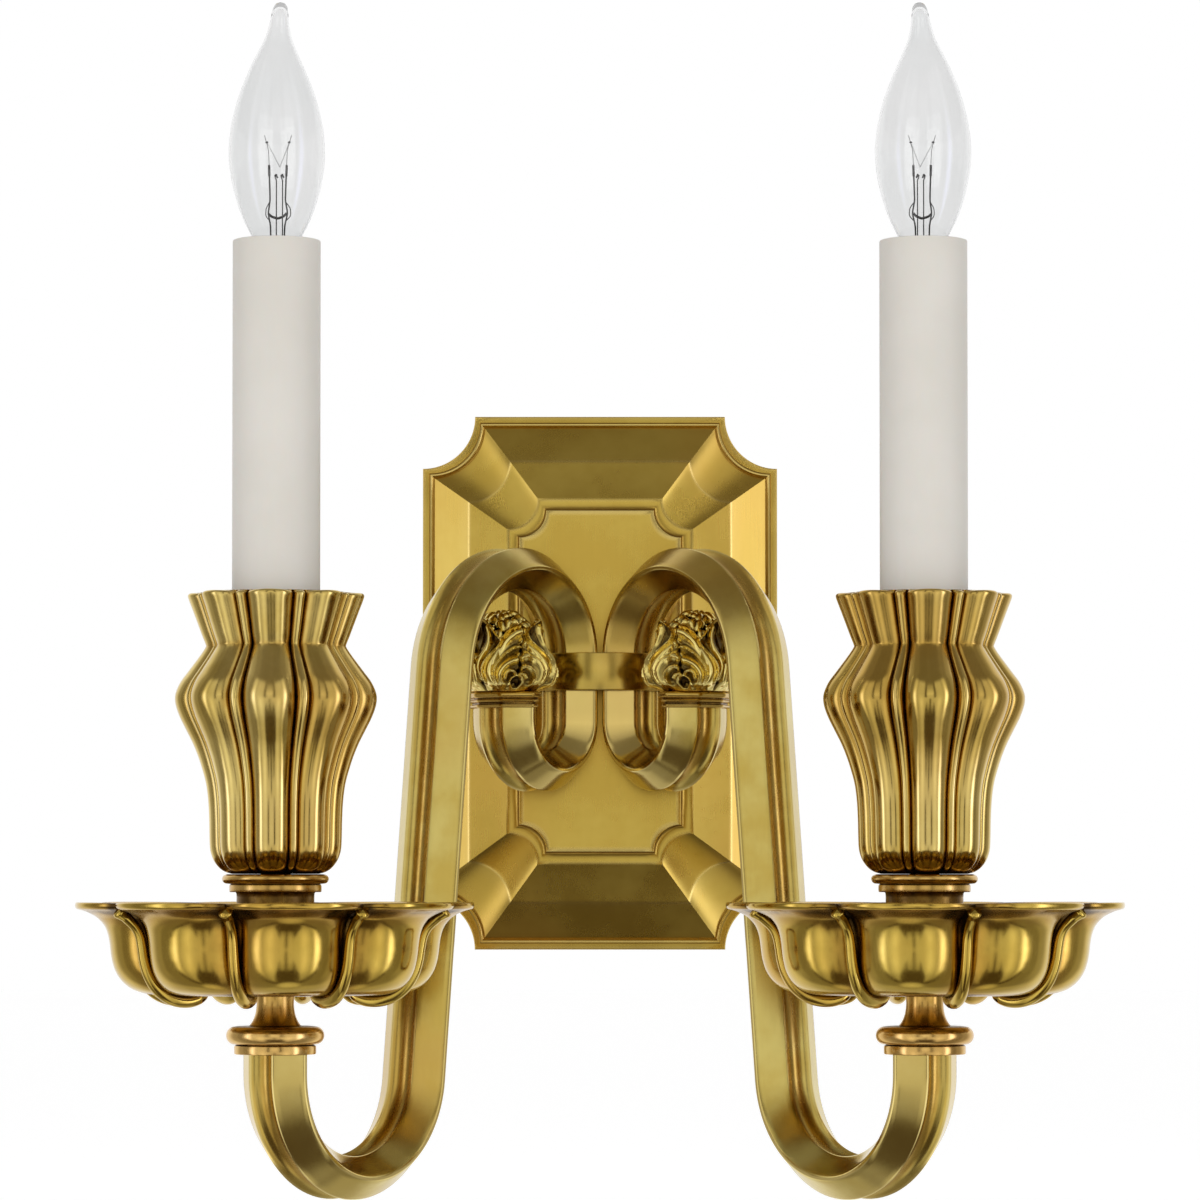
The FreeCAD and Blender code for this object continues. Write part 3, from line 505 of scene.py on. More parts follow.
def ivory_finish():
    """The candle sleeve: matt ivory with the faint upright streaks of a drawn tube."""
    f = Finish("ivory_sleeve")
    streaks = f.noise(260.0, 2.0, 0.5, ALONG)
    clouds = f.noise(30.0, 3.0)
    f.set(Base_Color=f.mixed(f.ranged(clouds, 0.3, 0.7), (0.70, 0.665, 0.60), (0.735, 0.70, 0.64)),
          Roughness=f.ranged(streaks, 0.2, 0.8, 0.42, 0.58), Specular_IOR_Level=0.35,
          Subsurface_Weight=0.08, Subsurface_Scale=0.002, Normal=f.bump(streaks, 0.00005, 0.35))
    return f.material


def glass_finish():
    """Blown glass, with slight waves and a trace of grey."""
    f = Finish("clear_glass")
    clouds = f.ranged(f.noise(40.0, 2.0), 0.3, 0.7)
    f.set(Base_Color=f.mixed(clouds, (0.865, 0.87, 0.87), (0.885, 0.885, 0.885)),
          Roughness=f.ranged(f.noise(90.0, 2.0), 0.3, 0.8, 0.0, 0.012), Transmission_Weight=1.0, IOR=1.45,
          Normal=f.bump(f.noise(45.0, 1.0), 0.0003, 0.08))
    return f.material


# A tone that is bright, one that is deep and one that is warm for each brass
GOLD = ((0.61, 0.435, 0.085), (0.52, 0.35, 0.06), (0.56, 0.34, 0.06))
PALE_GOLD = ((0.63, 0.51, 0.155), (0.51, 0.37, 0.08), (0.53, 0.33, 0.065))
CUP_GOLD = ((0.68, 0.515, 0.165), (0.53, 0.37, 0.085), (0.50, 0.30, 0.055))
BRONZE = ((0.76, 0.51, 0.17), (0.62, 0.38, 0.11), (0.68, 0.40, 0.11))
LEAF_GOLD = ((0.86, 0.71, 0.26), (0.76, 0.60, 0.18), (0.78, 0.58, 0.15))
# Dark browns for wax and painted shade in the hollows, and a pale brass for wear and painted highlight on
# edges
WAX_AND_SHADE_TONE = (0.085, 0.045, 0.013)
DARK_WAX_AND_SHADE_TONE = (0.05, 0.026, 0.007)
WEAR_AND_HIGHLIGHT_TONE = (0.87, 0.69, 0.28)
WHITE = (1.0, 1.0, 1.0)
COATS = {
    "plate": rubbed_brass("plate_brass", GOLD, WAX_AND_SHADE_TONE, (0.265, 0.28), 0.06),
    "arm": rubbed_brass("arm_brass", PALE_GOLD, WAX_AND_SHADE_TONE, (0.20, 0.225), 0.12),
    "cup": rubbed_brass("cup_brass", CUP_GOLD, WAX_AND_SHADE_TONE, (0.13, 0.18), 0.1),
    "pan": rubbed_brass("pan_brass", GOLD, WAX_AND_SHADE_TONE, (0.12, 0.18), 0.2),
    "bud": rubbed_brass("bud_brass", LEAF_GOLD, DARK_WAX_AND_SHADE_TONE, (0.09, 0.13), 0.04, (0.30, 0.20, 0.04)),
    "dark": rubbed_brass("dark_brass", BRONZE, WAX_AND_SHADE_TONE, (0.16, 0.22), 0.1),
    "ivory": ivory_finish(),
    "glass": glass_finish(),
    "lamp_brass": smooth_finish("lamp_brass", (0.70, 0.56, 0.28), (0.58, 0.43, 0.19), 1.0, 0.30),
    "leads": smooth_finish("lamp_leads", (0.06, 0.058, 0.056), (0.03, 0.029, 0.028), 1.0, 0.35),
    "zinc": smooth_finish("zinc_steel", (0.58, 0.58, 0.57), (0.44, 0.44, 0.45), 1.0, 0.36),
    "green": smooth_finish("green_earth", (0.03, 0.22, 0.07), (0.02, 0.15, 0.05), 0.6, 0.35),
    "phenolic": smooth_finish("black_phenolic", (0.03, 0.027, 0.026), (0.018, 0.016, 0.015), 0.0, 0.42),
    "lead_wire": smooth_finish("lead_wire", (0.62, 0.60, 0.53), (0.52, 0.50, 0.44), 0.0, 0.5),
}


# ---- Backplate ----

# Inset from the plate's edge, the notches' radius and the height in front of the wall
PLATE_PROFILE = [
    (0.0, 18.4, 0.0), (0.0, 18.4, 4.5), (0.15, 18.37, 4.85), (0.5, 18.3, 5.0), (2.0, 18.0, 5.0),
    (2.25, 17.95, 5.1), (2.4, 17.9, 5.5), (2.75, 17.85, 5.85), (3.15, 17.8, 5.9), (3.5, 17.75, 5.65),
    (3.65, 17.7, 5.3), (3.9, 17.7, 5.15), (4.3, 17.65, 5.4), (15.9, 14.58, 12.62), (16.4, 14.45, 12.95),
    (16.9, 14.3, 13.2), (17.6, 14.1, 13.45), (29.6, 10.8, 18.45), (30.2, 10.62, 18.72),
    (30.8, 10.46, 18.85), (31.6, 10.3, 18.85), (32.4, 10.15, 18.9), (33.2, 9.85, 19.1), (33.8, 9.6, 19.5),
    (34.1, 9.5, 20.1), (34.2, 9.5, 21.0), (34.3, 9.45, 21.35), (34.65, 9.4, 21.5), (36.2, 9.0, 21.5),
    (37.2, 8.8, 21.5),
]
# For each station of the profile: painted shade with wax in the grooves and at the panel's wall where above
# nought, and a painted highlight along the ridges where below
PLATE_SHADE_AND_HIGHLIGHT = [
    0, 0, 0, -.2, .1, .35, .1, -.4, -.4, .15, .4, .35, .1, -.05, -.3, -.05, 0, 0, -.2, -.1, .05, .1, .2,
    .4, .7, .3, -.4, -.5, 0, 0,
]
PLATE_BACK = [
    (37.2, 9.0, 19.5), (36.2, 10.5, 19.5), (36.2, 10.5, 17.0), (31.0, 12.4, 17.0), (16.6, 16.4, 11.0),
    (2.6, 19.0, 3.0), (2.6, 19.0, 0.0),
]


def plate_outline(inset, notch_r, depth):
    """The plate's outline at an inset, with a quarter circle cut from each corner."""
    half_w = PLATE_WIDTH / 2 - inset
    half_h = PLATE_HEIGHT / 2 - inset
    bends = []
    for x, z, first in ((half_w, half_h, 270), (-half_w, half_h, 0), (-half_w, -half_h, 90),
                        (half_w, -half_h, 180)):
        bends.append([np.array((x + notch_r * math.cos(a), -depth, z + notch_r * math.sin(a)))
                      for a in np.radians(np.linspace(first, first - 90, 22))])
    ring = []
    for bend, after in zip(bends, bends[1:] + bends[:1]):
        ring += bend + [bend[-1] + (after[0] - bend[-1]) * k / 10 for k in range(1, 10)]
    return ring


def make_backplate():
    """The plate with its hollow back, in one closed skin."""
    profile = PLATE_PROFILE + PLATE_BACK
    rings = [plate_outline(*station) for station in profile]
    # The back is painted darker as shade
    hollow = [[value] * len(rings[0]) for value in PLATE_SHADE_AND_HIGHLIGHT + [0.6] * len(PLATE_BACK)]
    plate = skin("backplate", rings, hollow, capped=False)
    fill_panels(plate.data)
    set_in_middle(plate, "backplate", "plate")


def fill_panels(mesh):
    """The wall between the last ring in front and the first behind goes, and a flat panel closes each."""
    work = bmesh.new()
    work.from_mesh(mesh)
    middle = 0.5 * (PLATE_PROFILE[-1][2] + PLATE_BACK[0][2])
    inset = PLATE_PROFILE[-1][0] - 0.5
    joining = []
    for face in work.faces:
        x, y, z = face.calc_center_median() / MM
        if (abs(y + middle) < 0.2 and abs(face.normal.y) < 0.5 and abs(x) < PLATE_WIDTH / 2 - inset
                and abs(z) < PLATE_HEIGHT / 2 - inset):
            joining.append(face)
    bmesh.ops.delete(work, geom=joining, context="FACES_ONLY")
    bmesh.ops.holes_fill(work, edges=[e for e in work.edges if len(e.link_faces) == 1], sides=0)
    bmesh.ops.recalc_face_normals(work, faces=work.faces)
    work.to_mesh(mesh)
    work.free()
    smooth(mesh, 30)


# ---- Arms ----

def bar_section():
    """The moulded section: on each face an edge, a flat, a soft ridge, a cove, a soft ridge and a flat."""
    points = [(0.0, HALF_BAR), (0.40, HALF_BAR), (0.62, HALF_BAR - 0.12)]
    for t in np.linspace(0.04, 0.93, 7):
        points.append((BAR_EDGE + t * (BAR_RIDGE - BAR_EDGE), HALF_BAR - t * (HALF_BAR - RIDGE_OFFSET)))
    points += [(BAR_RIDGE - 0.17, RIDGE_OFFSET + 0.12), (BAR_RIDGE - 0.12, RIDGE_OFFSET - 0.12)]
    sag = BAR_RIDGE - BAR_COVE
    radius = (RIDGE_OFFSET ** 2 + sag ** 2) / (2 * sag)
    for n in np.linspace(RIDGE_OFFSET - 0.55, 0.0, 9)[:-1]:
        points.append((BAR_COVE + radius - math.sqrt(radius ** 2 - n ** 2), n))
    face = points + [(BAR_COVE, 0.0)] + [(m, -n) for m, n in points[::-1]]
    return face + [(-m, -n) for m, n in face[1:-1]]


def section_shade_and_highlight(across):
    """Painted shade in the cove and beside the ridges, and painted highlight with some wear on the ridges
    and outer edges, by their distance from the bar's middle.
    """
    away = np.abs(across) - RIDGE_OFFSET
    cove = 0.36 * np.exp(-(across / 3.2) ** 4)
    wear_and_highlight = 0.8 * bell(away, 0.0, 0.22) + 0.6 * bell(np.abs(across), HALF_BAR, 0.2)
    return np.maximum(cove, 0.25 * bell(away, -0.75, 0.4)) - wear_and_highlight


def arc(centre, radius, start, sweep, step=2.6):
    """Points along an arc, about a step apart."""
    count = max(6, int(abs(sweep) * radius / step))
    angles = start + sweep * np.linspace(0, 1, count)
    return [(centre[0] + radius * math.cos(a), centre[1] + radius * math.sin(a)) for a in angles]


def arm_line():
    """The middle line of the arm in its own plane: the curl, the strap, the arch, the stem and the U."""
    top = (ARCH_INNER_R + ARCH_OUTER_R * math.cos(LEAN),
           ARCH_TOP - ARCH_OUTER_R + ARCH_OUTER_R * math.sin(LEAN))
    across = (ARM_REACH - top[0]) * math.cos(LEAN) + (U_BOTTOM - top[1]) * math.sin(LEAN)
    r = across / (1 + math.cos(LEAN) - math.sin(LEAN))
    foot = (ARM_REACH - r - r * math.cos(LEAN), U_BOTTOM + r - r * math.sin(LEAN))
    line = [(2 * CURL_R, COLLAR_LOW)]
    line += arc((CURL_R, CURL_Z), CURL_R, 0.0, -math.pi, 1.6)
    line += [(0.0, z) for z in np.linspace(CURL_Z, ARCH_TOP - ARCH_INNER_R, 8)[1:-1]]
    line += arc((ARCH_INNER_R, ARCH_TOP - ARCH_INNER_R), ARCH_INNER_R, math.pi, -math.pi / 2, 1.8)
    line += arc((ARCH_INNER_R, ARCH_TOP - ARCH_OUTER_R), ARCH_OUTER_R, math.pi / 2, LEAN - math.pi / 2)[1:]
    for t in np.linspace(0, 1, 36)[1:-1]:
        line.append((top[0] + (foot[0] - top[0]) * t, top[1] + (foot[1] - top[1]) * t))
    line += arc((ARM_REACH - r, U_BOTTOM + r), r, math.pi + LEAN, math.pi - LEAN, 2.0)
    return line + [(ARM_REACH, FERRULE_LOW)]


def edge_piece(name, points, closed):
    """A line of edges, for a tree to run along or to use as a section."""
    mesh = bpy.data.meshes.new(name)
    count = len(points)
    edges = [(k, (k + 1) % count) for k in range(count if closed else count - 1)]
    mesh.from_pydata([tuple(np.array(p) * MM) for p in points], edges, [])
    return shown(name, mesh)


def make_arms():
    """The arm, swept in its own plane and then turned to its place in the room."""
    section = edge_piece("bar_section", [(m, n, 0.0) for m, n in bar_section()], True)
    arm = edge_piece("arm", [(u, 0.0, z) for u, z in arm_line()], False)
    run_tree(arm, bar_tree(), Section=section, Finish=COATS["arm"])
    bpy.data.objects.remove(section)
    mesh = arm.data
    out, across, up = places_of(mesh).T / MM
    x, y = in_room(out, across)
    mesh.vertices.foreach_set("co", (np.stack([x, y, up], 1) * MM).ravel())
    hollow = section_shade_and_highlight(across)
    flat = 1 - ramp(hollow, 0, 0.3)
    # Painted highlight makes the curls and the outer half of the U paler, and painted shade darkens the
    # arch's top
    rubbed = (0.34 * (1 - eased(out, 34.7, 40)) + 0.28 * eased(out, 120, 140)) * (1 - eased(up, 0, 14))
    store(mesh, "hollow", hollow + flat * (0.15 * eased(up, 20, 32) - rubbed))
    face_outwards(mesh)
    smooth(mesh, 24)
    set_in_place(arm, "arm")


# ---- Clamp band and bud collar ----

def make_clamp_band():
    """The band round the fronts of both arms: an arc through their front ridges, cut off at the panel."""
    ax, ay = in_room(BAR_RIDGE, RIDGE_OFFSET)
    bx, by = in_room(BAR_RIDGE, -RIDGE_OFFSET)
    centre_y = (ax * ax + ay * ay - bx * bx - by * by) / (2 * (ay - by))
    inner = math.hypot(ax, ay - centre_y) + 0.05
    outer = inner + CLAMP_THICK
    soft = 0.35
    outline = [(inner, CLAMP_LOW), (outer - soft, CLAMP_LOW), (outer - 0.1, CLAMP_LOW + 0.1),
               (outer, CLAMP_LOW + soft), (outer, CLAMP_HIGH - soft), (outer - 0.1, CLAMP_HIGH - 0.1),
               (outer - soft, CLAMP_HIGH), (inner, CLAMP_HIGH)]
    reach = math.acos((PANEL_DEPTH + centre_y) / outer)
    rings = []
    for angle in np.linspace(-reach, reach, 121):
        rings.append([(r * math.sin(angle), min(centre_y - r * math.cos(angle), -PANEL_DEPTH), z)
                      for r, z in outline])
    # Painted shade along the band's inner edges, where it closes on the arms
    band = skin("clamp_band", rings, [[0.3, 0.15, 0, 0, 0, 0, 0.15, 0.3]] * len(rings))
    smooth(band.data, 50)
    set_in_middle(band, "clamp_band", "arm")


def collar_outline(grow):
    """The bar's outline, bridged over the cove and grown outwards, its corners rounded."""
    corners = [(BAR_EDGE + grow, HALF_BAR + grow), (BAR_RIDGE + grow, RIDGE_OFFSET + grow * 0.3)]
    corners += [(m, -n) for m, n in corners[::-1]]
    corners += [(-m, -n) for m, n in corners]
    corners = [np.array(c) for c in corners]
    ring = []
    for before, corner, after in zip(corners[-1:] + corners, corners, corners[1:] + corners[:1]):
        cut = min(1.0, 0.45 * min(np.linalg.norm(before - corner), np.linalg.norm(after - corner)))
        ring += rounded_corner(before, corner, after, cut, 7)
    return ring


# Distance out from the bar, height, and depth of the painted shade and wax
COLLAR_PROFILE = [
    (-2.0, 0.0, .3), (0.35, 0.0, .2), (0.75, 0.2, 0), (0.95, 0.6, 0), (0.85, 1.0, 0), (0.5, 1.25, .7),
    (0.15, 1.4, 1), (0.15, 1.7, 1), (0.5, 1.85, .5), (0.9, 2.1, 0), (1.1, 2.5, 0), (0.95, 2.9, .3),
    (0.75, 3.1, 1), (0.8, 3.3, .8), (1.4, 3.45, .2), (1.8, 3.8, 0), (1.95, 4.4, 0), (1.8, 4.95, 0),
    (1.35, 5.35, 0), (0.6, 5.6, .4), (-2.0, 5.6, .6),
]


def make_bud_collar():
    """The collar under the bud: two rolls with a groove between them, following the bar's outline."""
    rings = []
    hollow = []
    for out, rise, deep in COLLAR_PROFILE:
        ring = [(*in_room(2 * CURL_R + m, n), COLLAR_LOW + rise) for m, n in collar_outline(out)]
        rings.append(ring)
        # Painted shade with wax: a darkening over the whole collar, deepest in its grooves
        hollow.append([0.25 + 0.6 * deep] * len(ring))
    set_in_place(skin("bud_collar", rings, hollow), "cup")


# ---- Acanthus bud ----

BUD_LEAVES = 4
BUD_TURN = 54.0
BUD_OUTLINE = [
    (0.0, 11.8), (0.0, 11.8), (1.2, 13.9), (3.2, 17.0), (6.8, 18.7), (10.5, 18.4), (13.8, 17.0),
    (17.5, 15.2), (20.9, 14.0), (24.0, 13.8),
]
# The leaves' edge: degrees from the joint's middle, and height
RIM_TURN = (-45, -39, -34, -28, -21, -16, -8, 0, 8, 15, 18, 20.5, 23, 28, 33, 38, 42, 45)
RIM_RISE = (
    24.3, 22.9, 21.7, 19.5, 17.7, 18.7, 20.9, 22.0, 22.5, 22.6, 21.3, 19.3, 20.7, 22.3, 22.9, 23.7, 24.6,
    24.3,
)
# Folds of the leaves round the eye: width, height, then places to the side of the joint and up from its eye
FOLDS = [
    (0.75, 0.9, ((0.5, 2.9), (1.6, 2.9), (2.8, 2.5), (3.6, 1.7))),
    (0.75, 0.9, ((-0.3, 2.8), (-1.2, 3.7), (-2.4, 4.0), (-3.4, 3.2), (-3.8, 1.6))),
    (0.95, 1.0, ((1.5, 4.9), (2.9, 5.4), (4.6, 4.9), (6.0, 3.5), (6.7, 1.6), (6.2, -1.0))),
    (1.35, 1.0, ((0.4, 7.9), (-1.4, 7.5), (-3.6, 6.2), (-5.2, 4.2), (-5.8, 1.9), (-5.2, -0.8))),
    (1.6, 1.0, ((1.9, 8.7), (4.2, 9.2), (6.6, 8.2), (8.6, 6.2), (9.6, 3.6), (9.4, 0.8), (8.0, -1.8))),
    (0.7, 1.15, ((2.6, 12.0), (0.6, 12.1), (-1.9, 11.0), (-4.6, 9.0), (-6.6, 6.1), (-7.3, 3.2), (-6.9, 0.4),
                 (-5.6, -2.0))),
    (1.9, 1.1, ((4.2, 17.6), (1.2, 17.0), (-1.8, 15.6), (-4.8, 13.2), (-7.2, 10.0), (-8.7, 6.8), (-9.4, 3.6),
                (-9.0, 0.4), (-7.4, -2.4))),
    (1.5, 1.0, ((3.6, 14.0), (5.4, 13.2), (7.6, 11.0), (9.6, 8.4), (11.4, 5.4), (11.9, 2.4), (11.0, -0.8))),
    (0.65, 1.3, ((11.4, 21.0), (8.4, 20.0), (6.4, 18.4), (6.2, 16.4), (7.4, 14.0), (9.8, 11.6), (12.2, 9.0),
                 (13.6, 6.0), (13.9, 3.0), (13.2, -0.4))),
    (0.65, 1.3, ((-9.9, 19.0), (-7.9, 17.6), (-5.9, 14.9), (-6.6, 12.8), (-8.8, 9.8), (-10.6, 6.7),
                 (-11.2, 3.6), (-10.6, 0.0))),
    (1.1, 1.0, ((-11.6, 19.0), (-10.6, 15.6), (-10.8, 12.0), (-12.2, 8.6), (-13.0, 5.0), (-12.8, 1.6))),
]
SEAM = (
    (0.2, 3.2), (0.3, 3.2), (1.2, 6.3), (1.2, 6.3), (0.7, 8.4), (0.7, 8.4), (2.0, 10.0), (2.6, 12.8),
    (2.6, 12.8), (4.3, 15.0), (4.3, 15.0), (4.2, 19.5),
)
BUD_EYE = 2.7
# The radius that the leaves' places are measured on, and the rings that turn in behind their edge
LEAF_R = 16.5
BUD_LIP = ((0.3, -0.2), (0.8, -0.2), (1.2, 0.3), (1.5, 1.6), (2.4, 5.0), (4.5, 9.0))
FLOWER_PETALS = 44
FLOWER_R = 11.2
GOLDEN_ANGLE = 2.39996


def away_from(side, up, line):
    """How far each place is from a line."""
    points = smooth_line(line, 4)
    nearest = np.full(side.shape, 99.0)
    for (ax, ay), (bx, by) in zip(points[:-1], points[1:]):
        run = (bx - ax) ** 2 + (by - ay) ** 2 + 1e-9
        share = np.clip(((side - ax) * (bx - ax) + (up - ay) * (by - ay)) / run, 0, 1)
        nearest = np.minimum(nearest, np.hypot(side - ax - share * (bx - ax), up - ay - share * (by - ay)))
    return nearest


def make_bud():
    """The leaf bud: how far each place stands out and how much painted shade it gets, by folds, eye and
    seam.
    """
    profile = smooth_line(BUD_OUTLINE, 16)
    angles = full_turn(560)
    sector = math.pi / BUD_LEAVES
    local = (angles - math.radians(BUD_TURN) + sector) % (2 * sector) - sector
    degrees = np.degrees(local)
    rim = np.interp(degrees, RIM_TURN, RIM_RISE)
    height = profile[:, :1] / profile[-1, 0] * rim
    # Places on the leaves, to the side of the joint and up from its eye
    side = np.repeat(local[None, :] * LEAF_R, len(profile), 0)
    up = height - BUD_EYE
    relief = np.zeros(side.shape)
    for width, rise, line in FOLDS:
        relief = np.maximum(relief, rise * bell(away_from(side, up, line), 0.0, width))
    fade = ramp(height, 0.2, 3.2)
    eye_place = np.hypot(side - 0.1, up + 0.1)
    eye = 1 - eased(eye_place, 1.2, 2.0)
    ball = bell(np.hypot(side + 0.6, up + 0.7), 0.0, 0.85)
    seam = 0.8 * bell(away_from(side, up, SEAM), 0.0, 0.33)
    joint = bell(np.abs(local), sector, 0.04) * (1 - ramp(height, 4, 10))
    relief = np.maximum(relief, 0.9 * bell(eye_place, 2.4, 0.5) * (1 - eye))
    relief = np.maximum(relief, 1.15 * bell(rim - height, 0.35, 0.45))
    curl = 1.4 * (np.abs(local) / sector) ** 6 * ramp(height, 19, 25) ** 1.5
    notch = 0.9 * bell(degrees, -21.0, 4.0) * ramp(height, 12, 17)
    out = profile[:, 1:] + 2.1 * fade * (relief - 1.0) - 1.2 * eye + 1.1 * ball - 1.3 * seam - 0.8 * joint
    out = out + curl - notch
    # Painted shade in the low places between folds, in the eye, the seam and the joints, and painted
    # highlight on the crests
    low = np.clip(1.15 - 2.0 * relief, 0, 1) * fade
    dark = np.clip(0.85 * low + 0.5 * eye * (1 - ball) + 0.8 * seam + 0.5 * joint, 0, 1)
    dark = dark - 0.35 * np.clip(relief - 0.85, 0, 1)
    rings = [ring_at(BUD, r, angles + ARM_TURN, BUD_SEAT + z) for r, z in zip(out, height)]
    hollow = list(dark)
    for inwards, drop in BUD_LIP:
        rings.append(ring_at(BUD, out[-1] - inwards, angles + ARM_TURN, BUD_SEAT + height[-1] - drop))
        # The rings that turn in behind the edge are painted fully dark as shade
        hollow.append(np.full(len(angles), 0.0 if drop < 0.5 else 1.0))
    set_in_place(joined("bud", [skin("bud", rings, hollow), make_flower()]), "bud")


def make_flower():
    """The flower in the bud: a dome of rounded petals that lie over one another, each with a notch."""
    petals = []
    for k in range(FLOWER_PETALS):
        tipped = math.acos(1 - (k + 0.5) / FLOWER_PETALS * 0.98)
        angle = k * GOLDEN_ANGLE
        size = 2.5 + 0.6 * math.sin(k * 1.7)
        turn = (Matrix.Rotation(angle + ARM_TURN, 4, "Z") @ Matrix.Rotation(tipped, 4, "Y")
                @ Matrix.Translation((0, 0, FLOWER_R)) @ Matrix.Rotation((angle + ARM_TURN) * 1.3, 4, "Z"))
        work = bmesh.new()
        bmesh.ops.create_uvsphere(work, u_segments=24, v_segments=16, radius=1.0)
        values = []
        for v in work.verts:
            x, y, z = v.co
            notch = math.exp(-(x / 0.16) ** 2) * max(0.0, z)
            wave = 1 + 0.12 * math.sin(3 * math.atan2(y, x) + k)
            # Painted shade in each petal's notch and on its underside
            values.append(max(min(1.0, notch * 0.8), min(1.0, max(0.0, 0.1 - z) * 1.6)))
            x, y, z = turn @ (Vector((x * wave, y * wave * 0.85, z * 0.55 - 0.22 * notch)) * size)
            v.co = Vector((x + BUD[0], y + BUD[1], z * 1.06 + BUD_SEAT + 15.0)) * MM
        mesh = bpy.data.meshes.new("petal")
        work.to_mesh(mesh)
        work.free()
        store(mesh, "hollow", values)
        petals.append(shown("petal", mesh))
    return joined("flower", petals)


# ---- Candle stack ----

def make_ferrule():
    low = FERRULE_LOW
    profile = [(0.5, low), (12.9, low), (13.2, low + 0.15), (13.3, low + 0.5), (13.3, low + 2.4),
               (13.15, low + 2.8), (12.6, low + 3.0), (12.5, low + 3.3)]
    for angle in np.radians(np.linspace(-80, 80, 17)):
        profile.append((13.35 + 2.55 * math.cos(angle), -119.9 + 2.85 * math.sin(angle)))
    profile += [(12.4, PEDESTAL_LOW), (0.5, PEDESTAL_LOW)]
    # Painted shade in the steps and grooves and where the ferrule meets the arm and the pedestal
    hollow = [0, 0, 0, 0, 0, .2, 1, 1, .6, .3] + [0] * 13 + [.3, .5, 1, 1]
    set_in_place(turned("arm_ferrule", profile, hollow=hollow), "dark")


def make_pedestal():
    top = PAN_LOW + 0.1
    line = smooth_line([(8.55, PEDESTAL_LOW), (8.55, PEDESTAL_LOW), (7.4, -115.3), (6.55, -113.2),
                        (6.1, -110.6), (6.1, -108.4), (6.4, top), (6.4, top)], 6)
    profile = np.vstack([(0.5, PEDESTAL_LOW), line, (0.5, top)])
    # Painted shade over the pedestal, darkest where it meets the ferrule and the pan
    hollow = np.where((profile[:, 1] > PAN_LOW - 0.8) | (profile[:, 1] < PEDESTAL_LOW + 0.5), 0.9, 0.3)
    set_in_place(turned("pedestal", profile, 96, hollow), "dark")


def make_neck():
    low = PAN_FLOOR_TOP
    profile = [(0.5, low), (13.4, low), (12.9, low + 0.6), (12.6, low + 1.6), (12.6, -75.2), (12.65, -74.0),
               (12.9, -73.5), (14.6, -73.5), (14.9, -73.3), (14.95, -72.9), (14.95, -71.6), (14.8, -71.1),
               (14.4, -70.95), (14.6, -70.85)]
    for angle in np.radians(np.linspace(-80, 80, 11)):
        profile.append((15.75 + 1.55 * math.cos(angle), -69.25 + 1.5 * math.sin(angle)))
    profile += [(15.6, CUP_LOW - 0.1), (0.5, CUP_LOW - 0.1)]
    # Painted shade over the whole neck, darkest in its grooves and where it meets the pan and the cup
    hollow = [1, 1, 1, .9, .8, .9, 1, .6, .3, .25, .3, .6, 1, 1, .6] + [.25] * 9 + [.6, 1, 1]
    set_in_place(turned("neck_spacer", profile, hollow=hollow), "dark")


PETAL_PROFILE = [
    (64.1, -76.75), (64.55, -77.0), (PAN_LIP_R, -77.7), (64.55, -78.5), (64.1, -78.95), (64.1, -78.95),
    (61.6, -79.6), (59.2, -80.7), (57.3, -82.0), (55.3, -84.3), (54.2, -87.0), (53.6, -90.0),
    (53.25, -93.0), (52.7, -96.0), (51.6, -99.2), (49.6, -102.2), (46.8, -104.5), (43.4, -105.9),
    (39.5, -106.5), (34.0, PAN_LOW), (24.0, PAN_LOW), (12.0, PAN_LOW), (3.0, PAN_LOW),
]
PETAL_INSIDE = [
    (3.0, PAN_FLOOR_TOP), (14.0, PAN_FLOOR_TOP), (26.0, -104.7), (38.0, -104.4), (43.0, -103.6),
    (46.6, -101.8), (49.2, -98.9), (50.7, -95.0), (51.4, -91.5), (52.2, -87.2), (53.6, -83.6),
    (56.4, -80.6), (60.0, -78.3), (62.6, -77.1), (62.6, -77.1), (63.4, -76.75),
]

# The valley between two petals as a share of their crest
PAN_VALLEY = 0.835
RIB_LINE = [
    (57.2, -78.9), (56.2, -79.9), (53.6, -82.0), (50.9, -84.6), (49.2, -87.6), (48.3, -91.5),
    (47.6, -95.4), (46.2, -99.6), (43.6, -103.6), (39.8, -106.6), (35.4, -108.1), (31.0, -108.2),
    (27.2, -106.9), (25.4, -105.6),
]
RIB_WIDTH = [
    (0, 0.4), (0.02, 1.8), (0.06, 2.45), (0.13, 1.75), (0.25, 1.6), (0.5, 1.85), (0.75, 2.2), (0.9, 2.2),
    (0.97, 1.6), (1.0, 0.4),
]


